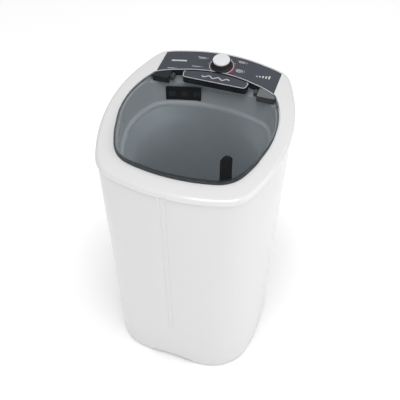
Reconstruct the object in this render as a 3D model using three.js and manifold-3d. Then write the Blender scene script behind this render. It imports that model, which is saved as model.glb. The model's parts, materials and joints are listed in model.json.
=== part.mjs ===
// Top load washing machine: a tapered moulded cabinet with a sloping top cover, a smoked see-through
// lid hinged at the back, a control fascia with one programme knob, and a belt-driven agitator.
// Millimetres, +Z up, +Y to the back, +X to the right. Origin on the floor below the middle.
import * as THREE from "three";
import { mergeVertices } from "three/addons/utils/BufferGeometryUtils.js";
import Module from "manifold-3d";

const wasm = await Module();
wasm.setup();

// ---------------------------------------------------------------- driving dimensions
const SPINDLE_Y = -22; // the agitator's axis, and the pole that every outline is sampled around
const RING_STEPS = 64; // points round a moulded shell
const REAR_ARC_STEPS = 160; // the same for the narrow pieces behind the lid
const GAP = 0.3; // between pieces that touch

// The lid's top, the fascia and the rims lie on one plane, the deck, that rises to the back.
const DECK_HEIGHT = 936.4; // above the floor at y = 0
const DECK_SLOPE = 0.16;
const DECK_TILT = Math.atan(DECK_SLOPE);

const CABINET_BOTTOM = 6;
const BASE_PAN = { bottom: 24, top: 30 };
const WALL = 4;
const COLLAR_SKIRT = 33; // from the deck to the lower edge of the top cover
const COLLAR_OVERHANG = 5;
const SHOULDER_RADIUS = 14;
const RIM_DROP_FRONT = 19; // how far the cover's rim lies below the deck at the front
const RIM_FLUSH_Y = 150; // where the rim has come up to the deck
const RIM_FRONT_Y = -240;
const COVER_SKIN = 7; // from the cover's top face to its underside

const THROAT_FLOOR = 850; // height of the step between the throat and the tank
const TRENCH_DEPTH = 26; // the ledge behind the throat that the lid's rear edge dips down to
const TRENCH_START_Y = 95;
const TRENCH_FULL_Y = 127;
const TRENCH_DEEP = 42; // the same between the hinges, below the lid's badge block
const TRENCH_DEEP_X = 140; // the deeper part rises again between these
const TRENCH_SHALLOW_X = 175;

const LID_THICKNESS = 3;
const LID_SKIRT_MIN = 5;
const LID_FLARE = 3;
const LID_CLEARANCE = 3; // between the lid's edge and what stands round it

const HINGE_V = 150; // the hinge axis, measured up the deck
const HINGE_DROP = 8; // and below it
const HINGE_PIN_RADIUS = 4;
const LUG_X = 134; // inner face of a lid lug
const LUG_WIDTH = 11;
const BRACKET_X = 148; // inner face of a fixed hinge bracket
const BRACKET_END_X = 204;
const BRACKET_V = 129;

// The block under the lid's rear edge, with its plate on top of the lid.
const BADGE = { frontHalf: 106, backHalf: 112, frontV: 145, corner: 5, depth: 22, thickness: 1.5 };

const FASCIA_HALF_WIDTH = 197;
const FASCIA_THICKNESS = 3;
const APRON_DEPTH = 24;
const APRON_THICKNESS = 3;
const APRON_START_Y = 124; // the cover makes room for the apron between these
const APRON_END_Y = 142;

const KNOB_V = 231;
const KNOB_BASE_RADIUS = 36;
const KNOB_TOP_RADIUS = 29;
const KNOB_CAP_RADIUS = 28;
const KNOB_HEIGHT = 22;
const DIAL_ARC = [-84, -12]; // the coloured part of the scale, degrees from the right

const TANK_RADIUS_TOP = 186;
const TANK_RADIUS_BOTTOM = 178;
const TANK_FLOOR = 376;
const SHAFT_RADIUS = 9;
const DRIVE_PULLEY_RADIUS = 115; // at the belt's middle
const MOTOR_PULLEY_RADIUS = 23; // at the belt's middle
const PULLEY_Z = 275;
const PULLEY_HEIGHT = 22;
const MOTOR_Y = 150;
const MOTOR_RADIUS = 62;
const MOTOR_BOTTOM = 130;
const MOTOR_TOP = 262;

// Half outlines in plan, from the front round to the back: [x, y, corner radius].
const LID_OUTLINE = [[0, -257, 630], [191, -212, 100], [270, 13, 266], [203, 144, 79], [0, 214, 380]];
const COLLAR_OUTLINE = [[0, -318, 635], [229, -265, 107], [334, -5, 458], [219, 255, 66], [0, 320, 507]];
const BASE_OUTLINE = [[0, -289, 1246], [246, -284, 149], [274, 71, 441], [197, 237, 86], [0, 280, 560]];

// ---------------------------------------------------------------- outlines
// A closed polygon, mirrored in x, with each corner rounded by its radius, as a polyline.
function roundedPolyline(halfOutline) {
  const mirrored = halfOutline.slice(1, -1).reverse().map(([x, y, r]) => [-x, y, r]);
  const corners = [...halfOutline, ...mirrored];
  const path = new THREE.Path();
  corners.forEach(([x, y, radius], i) => {
    const corner = new THREE.Vector2(x, y);
    const before = new THREE.Vector2(...corners.at(i - 1).slice(0, 2)).sub(corner).normalize();
    const after = new THREE.Vector2(...corners[(i + 1) % corners.length].slice(0, 2)).sub(corner).normalize();
    const halfAngle = before.angleTo(after) / 2;
    const middle = before.clone().add(after).normalize();
    const centre = corner.clone().addScaledVector(middle, radius / Math.sin(halfAngle));
    const start = before.clone().multiplyScalar(radius / Math.tan(halfAngle)).add(corner).sub(centre);
    const end = after.clone().multiplyScalar(radius / Math.tan(halfAngle)).add(corner).sub(centre);
    path.absarc(centre.x, centre.y, radius, start.angle(), end.angle(), false);
  });
  return path.getPoints(16);
}

// The distance from the spindle to an outline, as a function of the angle.
function polarRadius(halfOutline) {
  const samples = roundedPolyline(halfOutline)
    .map((p) => ({ angle: Math.atan2(p.y - SPINDLE_Y, p.x), radius: Math.hypot(p.x, p.y - SPINDLE_Y) }))
    .sort((a, b) => a.angle - b.angle);
  const last = samples.at(-1);
  const first = samples[0];
  samples.unshift({ angle: last.angle - 2 * Math.PI, radius: last.radius });
  samples.push({ angle: first.angle + 2 * Math.PI, radius: first.radius });
  return (angle) => {
    const wrapped = Math.atan2(Math.sin(angle), Math.cos(angle));
    const i = samples.findIndex((sample) => sample.angle >= wrapped);
    const a = samples[Math.max(i - 1, 0)];
    const b = samples[i];
    const t = b.angle > a.angle ? (wrapped - a.angle) / (b.angle - a.angle) : 0;
    return THREE.MathUtils.lerp(a.radius, b.radius, t);
  };
}

const lidRadius = polarRadius(LID_OUTLINE);
const collarRadius = polarRadius(COLLAR_OUTLINE);
const baseRadius = polarRadius(BASE_OUTLINE);
const circle = (radius) => () => radius;

// A ring of points: its radius and its height are functions. The height is called with the point's
// y and with the outline's own y and x there.
function ring(radius, height, inset = 0, steps = RING_STEPS) {
  return Array.from({ length: steps }, (_, i) => {
    const angle = (i / steps) * 2 * Math.PI;
    const probeX = radius(angle) * Math.cos(angle);
    const probeY = SPINDLE_Y + radius(angle) * Math.sin(angle);
    const r = radius(angle) - (typeof inset === "function" ? inset(probeY) : inset);
    const x = r * Math.cos(angle);
    const y = SPINDLE_Y + r * Math.sin(angle);
    return new THREE.Vector3(x, y, typeof height === "function" ? height(y, probeY, probeX) : height);
  });
}

const deckZ = (y) => DECK_HEIGHT + DECK_SLOPE * y;
const rimDrop = (y) => RIM_DROP_FRONT * (1 - THREE.MathUtils.smoothstep(y, RIM_FRONT_Y, RIM_FLUSH_Y));
const trench = (y) => THREE.MathUtils.smoothstep(y, TRENCH_START_Y, TRENCH_FULL_Y);
const trenchDepth = (x) => THREE.MathUtils.lerp(
  TRENCH_DEEP, TRENCH_DEPTH, THREE.MathUtils.smoothstep(Math.abs(x), TRENCH_DEEP_X, TRENCH_SHALLOW_X));
const skirtDepth = (y) => Math.max(LID_SKIRT_MIN, rimDrop(y) - 1);
const seatDepth = (y, x) => THREE.MathUtils.lerp(skirtDepth(y) + 1.5, trenchDepth(x), trench(y));

// A ring that hangs square below the deck; depth is called with the outline's y and x.
function deckRing(radius, depth, inset) {
  return ring(radius, (y, probeY, probeX) => depth(probeY, probeX), inset).map(({ x, y, z: drop }) =>
    new THREE.Vector3(x, y + drop * Math.sin(DECK_TILT), deckZ(y) - drop * Math.cos(DECK_TILT)));
}

// ---------------------------------------------------------------- solids
function signedVolume(positions, triangles) {
  let volume = 0;
  for (let i = 0; i < triangles.length; i += 3) {
    const [a, b, c] = [0, 1, 2].map((k) => new THREE.Vector3(...positions[triangles[i + k]]));
    volume += a.dot(b.cross(c)) / 6;
  }
  return volume;
}

function indexedGeometry(positions, triangles) {
  const faces = signedVolume(positions, triangles) < 0 ? triangles.slice().reverse() : triangles;
  const geometry = new THREE.BufferGeometry();
  geometry.setAttribute("position", new THREE.Float32BufferAttribute(positions.flat(), 3));
  geometry.setIndex(faces);
  return geometry;
}

// Skins rings of equal count. A looped loft joins the last ring to the first; otherwise both ends
// are closed by a fan round the ring's middle.
function loft(rings, looped) {
  const steps = rings[0].length;
  const positions = rings.flat().map((p) => [p.x, p.y, p.z]);
  const triangles = [];
  const bands = looped ? rings.length : rings.length - 1;
  for (let k = 0; k < bands; k += 1) {
    const lower = k * steps;
    const upper = ((k + 1) % rings.length) * steps;
    for (let i = 0; i < steps; i += 1) {
      const next = (i + 1) % steps;
      triangles.push(lower + i, lower + next, upper + next, lower + i, upper + next, upper + i);
    }
  }
  if (!looped) {
    addFan(positions, triangles, rings[0], 0, true);
    addFan(positions, triangles, rings.at(-1), (rings.length - 1) * steps, false);
  }
  return indexedGeometry(positions, triangles);
}

function addFan(positions, triangles, points, offset, reversed) {
  const middle = points.reduce((sum, p) => sum.add(p), new THREE.Vector3()).divideScalar(points.length);
  const apex = positions.push([middle.x, middle.y, middle.z]) - 1;
  points.forEach((_, i) => {
    const a = offset + i;
    const b = offset + ((i + 1) % points.length);
    triangles.push(...(reversed ? [apex, b, a] : [apex, a, b]));
  });
}

function toSolid(geometry) {
  const bare = geometry.clone();
  bare.deleteAttribute("normal");
  bare.deleteAttribute("uv");
  const merged = mergeVertices(bare, 1e-4);
  return new wasm.Manifold(new wasm.Mesh({
    numProp: 3,
    vertProperties: new Float32Array(merged.attributes.position.array),
    triVerts: new Uint32Array(merged.index.array),
  }));
}

function toGeometry(solid) {
  const mesh = solid.getMesh();
  const geometry = new THREE.BufferGeometry();
  geometry.setAttribute("position", new THREE.Float32BufferAttribute(mesh.vertProperties, 3));
  geometry.setIndex([...mesh.triVerts]);
  return geometry;
}

const cut = (geometry, ...tools) =>
  toGeometry(tools.reduce((solid, tool) => solid.subtract(toSolid(tool)), toSolid(geometry)));
const join = (geometry, ...others) =>
  toGeometry(others.reduce((solid, other) => solid.add(toSolid(other)), toSolid(geometry)));
const common = (geometry, other) => toGeometry(toSolid(geometry).intersect(toSolid(other)));

// A box from its lowest to its highest corner.
function boxBetween([x0, y0, z0], [x1, y1, z1]) {
  return new THREE.BoxGeometry(x1 - x0, y1 - y0, z1 - z0)
    .translate((x0 + x1) / 2, (y0 + y1) / 2, (z0 + z1) / 2);
}

// A solid of revolution about a vertical axis at (x, y); the profile holds [radius, z] pairs.
function turned(profile, x = 0, y = 0, segments = 32) {
  const points = profile.map(([radius, z]) => new THREE.Vector2(radius, z));
  return new THREE.LatheGeometry(points, segments).rotateX(Math.PI / 2).translate(x, y, 0);
}

// A tube-shaped ring about a vertical axis: its profile closes on itself.
function turnedRing(inner, outer, z0, z1, x = 0, y = 0, segments = 28) {
  return turned([[inner, z0], [outer, z0], [outer, z1], [inner, z1], [inner, z0]], x, y, segments);
}

function post(radius, z0, z1, x = 0, y = 0, segments = 24) {
  return new THREE.CylinderGeometry(radius, radius, z1 - z0, segments)
    .rotateX(Math.PI / 2).translate(x, y, (z0 + z1) / 2);
}

// A round bar along X.
function barX(radius, x0, x1, y, z, segments = 16) {
  return new THREE.CylinderGeometry(radius, radius, x1 - x0, segments)
    .rotateZ(Math.PI / 2).translate((x0 + x1) / 2, y, z);
}

function slab(points, z0, z1) {
  return new THREE.ExtrudeGeometry(new THREE.Shape(points), { depth: z1 - z0, bevelEnabled: false })
    .translate(0, 0, z0);
}

// An upright plate: its outline is in X and Z, and its thickness lies evenly about y = 0.
function plateAlongX(points, thickness) {
  return new THREE.ExtrudeGeometry(new THREE.Shape(points), { depth: thickness, bevelEnabled: false })
    .rotateX(Math.PI / 2).translate(0, thickness / 2, 0);
}

function tubeAlong(points, radius, steps, sides = 10) {
  const section = new THREE.Shape();
  section.absarc(0, 0, radius, 0, 2 * Math.PI, false);
  const extrudePath = new THREE.CatmullRomCurve3(points.map((p) => new THREE.Vector3(...p)));
  const shape = new THREE.Shape(section.getSpacedPoints(sides).slice(0, -1));
  return new THREE.ExtrudeGeometry(shape, { steps, extrudePath, bevelEnabled: false });
}

// ---------------------------------------------------------------- materials and the scene graph
const washer = new THREE.Group();
washer.name = "top_load_washer";
const deck = new THREE.Group(); // local X right, Y up the slope, Z square to it
deck.position.z = DECK_HEIGHT;
deck.rotation.x = DECK_TILT;
washer.add(deck);

const finish = (color, roughness, metalness = 0) => ({ color, roughness, metalness });
const WHITE_SHELL = finish(0xe9eaeb, 0.28);
const TUB_GREY = finish(0xb9bdc0, 0.4);
const SLATE = finish(0x4a4d57, 0.45);
const DARK_PLASTIC = finish(0x1b1b1e, 0.5);
const SMOKE = { ...finish(0x5a5f63, 0.08), transparent: true, opacity: 0.6 };
const CAP_GREY = finish(0xe2e2e6, 0.3);
const RUBBER = finish(0x1a1a1a, 0.85);
const STEEL = finish(0xa9adb2, 0.35, 1);
const CAST = finish(0x8b9096, 0.55, 0.8);
const PANEL_GREY = finish(0x9a9ea3, 0.6);
const RED = finish(0xa82036, 0.45);

function piece(name, geometry, look, parent = washer) {
  const mesh = new THREE.Mesh(geometry, new THREE.MeshStandardMaterial(look));
  mesh.name = name;
  parent.add(mesh);
  return mesh;
}

// ---------------------------------------------------------------- cabinet
const REAR_OPENING = { halfWidth: 150, bottom: 70, top: 330 };
const DRAIN_EXIT = { x: -178, z: 120, radius: 14 };
const CORD_EXIT = { x: 178, z: 120, radius: 9 };
const TOE_NOTCH = { halfWidth: 80, top: 20 };
const GROOVE = { x: 8.5, halfWidth: 1.6, depth: 1.6, bottom: 168, top: 866 };

function cabinetRing(t, inset) {
  const top = (angle) => collarRadius(angle) - COLLAR_OVERHANG;
  const radius = (angle) => THREE.MathUtils.lerp(baseRadius(angle), top(angle), t);
  const height = (y) => THREE.MathUtils.lerp(CABINET_BOTTOM, deckZ(y) - COLLAR_SKIRT + WALL, t);
  return ring(radius, height, inset);
}

function cabinetWall() {
  const bottomChamfer = 3;
  const outside = [cabinetRing(0, bottomChamfer), cabinetRing(0.006, 0), cabinetRing(1, 0)];
  const inside = [cabinetRing(1, WALL), cabinetRing(0.006, WALL), cabinetRing(0, WALL)];
  return loft([...outside, ...inside], true);
}

// The plate that fills the rear opening is cut from the same moulded wall.
function rearBlock(margin) {
  const { halfWidth, bottom, top } = REAR_OPENING;
  return boxBetween([-halfWidth + margin, 150, bottom + margin], [halfWidth - margin, 320, top - margin]);
}

// A fine V-shaped groove down the front, following the wall's lean.
function frontGroove(x) {
  const { halfWidth, depth, bottom, top } = GROOVE;
  const surfaceY = (z) => {
    const t = (z - CABINET_BOTTOM) / (deckZ(-300) - COLLAR_SKIRT + WALL - CABINET_BOTTOM);
    const front = -Math.PI / 2;
    return SPINDLE_Y - THREE.MathUtils.lerp(baseRadius(front), collarRadius(front) - COLLAR_OVERHANG, t);
  };
  const level = (z) => [[-halfWidth, -1], [halfWidth, -1], [0, depth]]
    .map(([dx, dy]) => new THREE.Vector3(x + dx, surfaceY(z) + dy, z));
  return loft([level(bottom), level(top)], false);
}

// How far back the cabinet's outer face reaches at (x, z).
function rearSurfaceY(x, z) {
  const t = (z - CABINET_BOTTOM) / (deckZ(280) - COLLAR_SKIRT + WALL - CABINET_BOTTOM);
  let angle = Math.PI / 2;
  let radius = 280;
  for (let i = 0; i < 6; i += 1) {
    radius = THREE.MathUtils.lerp(baseRadius(angle), collarRadius(angle) - COLLAR_OVERHANG, t);
    angle = Math.acos(THREE.MathUtils.clamp(x / radius, -1, 1));
  }
  return SPINDLE_Y + radius * Math.sin(angle);
}

// Sets a piece made along +Z on the rear wall, pointing straight out of it at (x, z).
function onRearWall(geometry, x, z) {
  const reach = 6;
  const yaw = Math.atan((rearSurfaceY(x + reach, z) - rearSurfaceY(x - reach, z)) / (2 * reach));
  return geometry.rotateX(-Math.PI / 2).rotateZ(yaw).translate(x, rearSurfaceY(x, z), z);
}

function cabinetShell() {
  const toe = boxBetween([-TOE_NOTCH.halfWidth, -320, 0], [TOE_NOTCH.halfWidth, -240, TOE_NOTCH.top]);
  const exits = [DRAIN_EXIT, CORD_EXIT].map(({ x, z, radius }) => onRearWall(post(radius, -30, 30), x, z));
  const grooves = [frontGroove(-GROOVE.x), frontGroove(GROOVE.x)];
  return cut(cabinetWall(), toe, rearBlock(0), ...exits, ...grooves);
}

function addCabinet() {
  piece("cabinet_shell", cabinetShell(), WHITE_SHELL);
  piece("rear_cover", common(cabinetWall(), rearBlock(0.6)), PANEL_GREY);
  const { halfWidth, bottom, top } = REAR_OPENING;
  const screwInset = 14;
  const screwX = halfWidth - screwInset;
  [[-screwX, bottom + screwInset], [screwX, bottom + screwInset], [-screwX, top - screwInset],
    [screwX, top - screwInset]].forEach(([x, z], i) => {
    piece(`rear_cover_screw_${i + 1}`, onRearWall(post(4.5, 0.8, 3.2, 0, 0, 12), x, z), STEEL);
  });
}

function addBase() {
  const outer = [ring(baseRadius, BASE_PAN.bottom, WALL + 1), ring(baseRadius, BASE_PAN.top, WALL + 1)];
  const opening = [ring(circle(90), BASE_PAN.top), ring(circle(90), BASE_PAN.bottom)];
  piece("base_pan", loft([...outer, ...opening], true), PANEL_GREY);
  const feet = {
    front_left: [-185, -195],
    front_right: [185, -195],
    rear_left: [-165, 190],
    rear_right: [165, 190],
  };
  for (const [place, [x, y]] of Object.entries(feet)) {
    const profile = [[0, 0], [20, 0], [22, 2], [19, BASE_PAN.bottom - GAP], [0, BASE_PAN.bottom - GAP]];
    piece(`foot_${place}`, turned(profile, x, y, 20), RUBBER);
  }
}

// ---------------------------------------------------------------- top cover with the throat
function topCoverShell() {
  const under = (y) => deckZ(y) - COLLAR_SKIRT;
  const rimZ = (y, probeY) => deckZ(y) - rimDrop(probeY);
  const apronRoom = (y) => THREE.MathUtils.smoothstep(y, APRON_START_Y, APRON_END_Y);
  const edgeInset = (y) => -LID_CLEARANCE - (APRON_THICKNESS + 1.6) * apronRoom(y);
  const belowSeat = (y, x) => seatDepth(y, x) + WALL;
  const shoulder = [0, 22.5, 45, 67.5, 90].map((degrees) => {
    const a = THREE.MathUtils.degToRad(degrees);
    const drop = SHOULDER_RADIUS * (1 - Math.sin(a));
    return ring(collarRadius, (y, p) => rimZ(y, p) - drop, SHOULDER_RADIUS * (1 - Math.cos(a)));
  });
  return loft([
    ring(collarRadius, under, WALL),
    ring(collarRadius, under, 0),
    ...shoulder,
    deckRing(lidRadius, rimDrop, edgeInset),
    deckRing(lidRadius, seatDepth, edgeInset),
    deckRing(lidRadius, seatDepth, 10),
    ring(lidRadius, THROAT_FLOOR, 13),
    ring(lidRadius, THROAT_FLOOR - 4, 24),
    ring(lidRadius, THROAT_FLOOR - 8, 24),
    ring(lidRadius, THROAT_FLOOR - 8, 9),
    deckRing(lidRadius, belowSeat, 6),
    deckRing(lidRadius, belowSeat, (y) => edgeInset(y) - WALL),
    deckRing(lidRadius, (y) => rimDrop(y) + COVER_SKIN, (y) => edgeInset(y) - WALL - 1),
    ring(collarRadius, (y, p) => rimZ(y, p) - COVER_SKIN, SHOULDER_RADIUS + 2),
    ring(collarRadius, (y, p) => rimZ(y, p) - COVER_SKIN - 1, WALL),
  ], true);
}

// Plan points of the lid's outline laid on the deck, from the right side round the back to the left.
function rearArc(radius, inset, halfWidth) {
  const stretch = 1 / Math.cos(DECK_TILT);
  return ring(radius, 0, inset, REAR_ARC_STEPS)
    .filter((p) => p.y > 100 && Math.abs(p.x) <= halfWidth)
    .map((p) => new THREE.Vector2(p.x, p.y * stretch))
    .sort((a, b) => b.x - a.x);
}

// The fascia's plan: the lid's rear edge in front, the cover's shoulder behind, straight ends.
function fasciaOutline(grow) {
  const halfWidth = FASCIA_HALF_WIDTH + grow;
  const front = rearArc(lidRadius, -LID_CLEARANCE, FASCIA_HALF_WIDTH);
  const back = rearArc(collarRadius, SHOULDER_RADIUS + 1 - grow, FASCIA_HALF_WIDTH);
  front[0].x = halfWidth;
  front.at(-1).x = -halfWidth;
  back[0].x = halfWidth;
  back.at(-1).x = -halfWidth;
  return [...front.reverse(), ...back];
}

const onDeck = (geometry) => geometry.rotateX(DECK_TILT).translate(0, 0, DECK_HEIGHT);

function addTopCover() {
  const fasciaSeat = onDeck(slab(fasciaOutline(0.4), -FASCIA_THICKNESS - 0.4, 30));
  const shaftHole = onDeck(post(7, -60, 30, 0, KNOB_V));
  piece("top_cover", cut(topCoverShell(), fasciaSeat, shaftHole), WHITE_SHELL);
}

// ---------------------------------------------------------------- fascia, timer and knob
function addFascia() {
  const plate = slab(fasciaOutline(0), -FASCIA_THICKNESS, 0);
  const apronFront = rearArc(lidRadius, -LID_CLEARANCE, FASCIA_HALF_WIDTH);
  const apronBack = rearArc(lidRadius, -LID_CLEARANCE - APRON_THICKNESS, FASCIA_HALF_WIDTH).reverse();
  const apron = slab([...apronFront, ...apronBack], -APRON_DEPTH, -FASCIA_THICKNESS / 2);
  const shaftHole = post(4.5, -20, 10, 0, KNOB_V);
  piece("control_fascia", cut(join(plate, apron), shaftHole), SLATE, deck);
  addDial();
}

// The scale round the knob ends short of the fascia's front edge.
function addDial() {
  const ringInner = KNOB_BASE_RADIUS + 2.5;
  const front = rearArc(lidRadius, -LID_CLEARANCE - 3.2, KNOB_BASE_RADIUS * 2);
  const behind = KNOB_V + KNOB_BASE_RADIUS * 2;
  const corners = [front.at(-1).x, front[0].x].map((x) => new THREE.Vector2(x, behind));
  const room = slab([...front, ...corners], -1, 5);
  const scaleRing = turnedRing(ringInner, ringInner + 2, GAP, 0.9, 0, KNOB_V, 40);
  piece("dial_ring", common(scaleRing, room), CAP_GREY, deck);
  const arc = new THREE.Shape();
  const [from, to] = DIAL_ARC.map(THREE.MathUtils.degToRad);
  arc.absarc(0, KNOB_V, ringInner + 2.9, from, to, false);
  arc.absarc(0, KNOB_V, ringInner + 7.4, to, from, true);
  const band = new THREE.ExtrudeGeometry(arc, { depth: 0.3, bevelEnabled: false, curveSegments: 24 });
  piece("dial_arc", common(band.translate(0, 0, GAP), room), RED, deck);
}

function addTimer() {
  const top = -COVER_SKIN - 1;
  const body = boxBetween([-35, KNOB_V - 14, top - 42], [35, KNOB_V + 38, top]);
  const bore = post(3.4, top - 12, top + 1, 0, KNOB_V, 20);
  piece("programme_timer", cut(body, bore), DARK_PLASTIC, deck);
  piece("timer_shaft", post(3, top - 11, 17.7, 0, KNOB_V, 20), STEEL, deck);
}

function addKnob() {
  const bore = 3.4;
  const skirt = [[0, 18], [bore, 18], [bore, 1.2], [KNOB_BASE_RADIUS, 1.2], [KNOB_BASE_RADIUS, 3.4],
    [KNOB_TOP_RADIUS, KNOB_HEIGHT], [0, KNOB_HEIGHT]];
  piece("knob_skirt", turned(skirt, 0, KNOB_V, 40), DARK_PLASTIC, deck);
  const capBase = KNOB_HEIGHT + GAP;
  const cap = [[0, capBase], [KNOB_CAP_RADIUS, capBase], [KNOB_CAP_RADIUS, capBase + 4.5],
    [KNOB_CAP_RADIUS - 1.5, capBase + 6], [0, capBase + 7]];
  piece("knob_cap", turned(cap, 0, KNOB_V, 40), CAP_GREY, deck);
}

// ---------------------------------------------------------------- lid and its hinge
function lidRing(inset, depth) {
  const stretch = 1 / Math.cos(DECK_TILT);
  return ring(lidRadius, (y, p) => -(typeof depth === "function" ? depth(p) : depth), inset)
    .map((p) => new THREE.Vector3(p.x, p.y * stretch, p.z));
}

function lidShell() {
  const flare = (y) => LID_FLARE * (skirtDepth(y) - LID_SKIRT_MIN) / (RIM_DROP_FRONT - LID_SKIRT_MIN);
  return loft([
    lidRing(7, LID_THICKNESS),
    lidRing(4, LID_THICKNESS + 1),
    lidRing((y) => 3 - flare(y), skirtDepth),
    lidRing((y) => -flare(y), skirtDepth),
    lidRing(0, 2.5),
    lidRing(2.5, 0),
  ], false);
}

// Straight in front with rounded corners, and following the lid's rear edge behind.
function badgeOutline(rearInset) {
  const { frontHalf, backHalf, frontV, corner } = BADGE;
  const back = rearArc(lidRadius, rearInset, backHalf - 1);
  const sides = [[-backHalf, back.at(-1).y], [-frontHalf - 1, frontV + corner], [-frontHalf + corner, frontV],
    [frontHalf - corner, frontV], [frontHalf + 1, frontV + corner], [backHalf, back[0].y]];
  return [...sides.map(([x, y]) => new THREE.Vector2(x, y)), ...back];
}

function addLid() {
  const notches = [-1, 1].map((side) => {
    const [inner, outer] = [BRACKET_X - 1, BRACKET_END_X + 1.5];
    const [x0, x1] = side > 0 ? [inner, outer] : [-outer, -inner];
    return boxBetween([x0, BRACKET_V - 1.5, -30], [x1, 230, 10]);
  });
  piece("lid_panel", cut(lidShell(), ...notches), SMOKE, deck);

  piece("lid_badge_block", slab(badgeOutline(8), -BADGE.depth, -LID_THICKNESS - GAP), DARK_PLASTIC, deck);
  piece("lid_badge_plate", slab(badgeOutline(4), GAP, BADGE.thickness), SLATE, deck);
}

function addHinges() {
  for (const [place, side] of [["left", -1], ["right", 1]]) {
    const across = (a, b) => (side > 0 ? [a, b] : [-b, -a]);
    const [lug0, lug1] = across(LUG_X, LUG_X + LUG_WIDTH);
    const lug = boxBetween([lug0, HINGE_V - 9, -17], [lug1, HINGE_V + 9, -LID_THICKNESS - GAP]);
    const [pin0, pin1] = across(LUG_X + LUG_WIDTH / 2, BRACKET_X + 24);
    const pin = barX(HINGE_PIN_RADIUS, pin0, pin1, HINGE_V, -HINGE_DROP);
    piece(`lid_lug_${place}`, join(lug, pin), TUB_GREY, deck);

    const rear = rearArc(lidRadius, -LID_CLEARANCE + 0.6, BRACKET_END_X)
      .map((p) => [p.x * side, p.y])
      .filter(([x]) => x > BRACKET_X + 2)
      .sort((a, b) => b[0] - a[0]);
    const corners = [[BRACKET_END_X, BRACKET_V], [BRACKET_END_X, rear[0][1]], ...rear,
      [BRACKET_X, rear.at(-1)[1]], [BRACKET_X, BRACKET_V]];
    const plan = corners.map(([x, y]) => new THREE.Vector2(x * side, y));
    const [bore0, bore1] = across(BRACKET_X - 1, BRACKET_X + 26);
    const bore = barX(HINGE_PIN_RADIUS + 0.3, bore0, bore1, HINGE_V, -HINGE_DROP);
    const colour = side > 0 ? WHITE_SHELL : DARK_PLASTIC; // only the left bracket is dark
    piece(`hinge_bracket_${place}`, cut(slab(plan, -APRON_DEPTH, -1), bore), colour, deck);
  }
}

// ---------------------------------------------------------------- wash tub and what is in it
const DRAIN_HOLE = { x: -148, y: SPINDLE_Y, radius: 12 };
const FILTER = { angle: -34.7, distance: 158, width: 38, thickness: 12, bottom: 600, top: 894 };

function washTub() {
  const blend = (radius, inset, t) => (angle) => THREE.MathUtils.lerp(radius, lidRadius(angle) - inset, t);
  const inside = (inset) => [
    ring(circle(80 - inset), TANK_FLOOR - inset),
    ring(circle(150 - inset), TANK_FLOOR + 4 - inset),
    ring(circle(170), TANK_FLOOR + 14 - inset, -inset),
    ring(circle(TANK_RADIUS_BOTTOM), TANK_FLOOR + 40, -inset),
    ring(circle(TANK_RADIUS_TOP), 720, -inset),
    ring(blend(TANK_RADIUS_TOP, 26, 0.25), 780, -inset),
    ring(blend(TANK_RADIUS_TOP, 26, 0.75), 820 - inset * 0.5, -inset),
    ring(blend(TANK_RADIUS_TOP, 26, 1), 838 - inset, -inset),
  ];
  const rimZ = THROAT_FLOOR - 8 - GAP;
  const rim = [ring(lidRadius, rimZ, 26), ring(lidRadius, rimZ, 12), ring(lidRadius, rimZ - WALL, 12)];
  return loft([...inside(0), ...rim, ...inside(WALL).reverse()], false);
}

function addTub() {
  const shaftHole = post(19, TANK_FLOOR - 20, TANK_FLOOR + 20, 0, SPINDLE_Y);
  const drain = post(DRAIN_HOLE.radius, TANK_FLOOR - 20, TANK_FLOOR + 20, DRAIN_HOLE.x, DRAIN_HOLE.y);
  piece("wash_tub", cut(washTub(), shaftHole, drain), TUB_GREY);

  const wallInset = (z) => THREE.MathUtils.mapLinear(z, THROAT_FLOOR, 940, 13, 10);
  const label = { left: -166, right: -52, bottom: 857, top: 908, thickness: 0.8 };
  const sheet = (z, offset) => ring(lidRadius, z, wallInset(z) + offset, RING_STEPS);
  const band = loft([
    sheet(label.bottom, GAP), sheet(label.bottom, GAP + label.thickness),
    sheet(label.top, GAP + label.thickness), sheet(label.top, GAP),
  ], true);
  const window = boxBetween([label.left, 0, label.bottom - 5], [label.right, 300, label.top + 5]);
  piece("instruction_label", common(band, window), DARK_PLASTIC);
}

// The lint filter stands against the tank wall and tips inwards about its foot.
function addLintFilter() {
  const stand = new THREE.Group(); // local Y points away from the spindle
  stand.position.y = SPINDLE_Y;
  stand.rotation.z = THREE.MathUtils.degToRad(FILTER.angle - 90);
  washer.add(stand);
  const { distance, width, thickness, bottom, top } = FILTER;
  const halfWidth = width / 2;
  const chamfer = 9;
  const outline = [[-halfWidth, bottom], [halfWidth, bottom], [halfWidth, top - chamfer], [5, top],
    [-5, top], [-halfWidth, top - chamfer]].map(([x, z]) => new THREE.Vector2(x, z));
  const upright = plateAlongX(outline, thickness).translate(0, distance, 0);
  const window = boxBetween([-halfWidth + 6, distance - 20, 640], [halfWidth - 6, distance + 20, 800]);
  piece("filter_frame", cut(upright, window), DARK_PLASTIC, stand);
  const meshDepth = 1.2;
  piece("filter_mesh", boxBetween(
    [-halfWidth + 6 + GAP, distance - meshDepth, 640 + GAP],
    [halfWidth - 6 - GAP, distance + meshDepth, 800 - GAP],
  ), PANEL_GREY, stand);
  const tiltRoom = 2; // the foot's inner edge dips as it tips
  const shelf = boxBetween([-24, distance - 9, bottom - 14], [24, distance + 22, bottom - tiltRoom]);
  const back = boxBetween([-24, distance + 8, bottom - 14], [24, distance + 22, bottom + 190]);
  const tank = post(TANK_RADIUS_TOP - 4, 400, 900, 0, 0, RING_STEPS);
  piece("filter_socket", common(join(shelf, back), tank), DARK_PLASTIC, stand);
}

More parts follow.
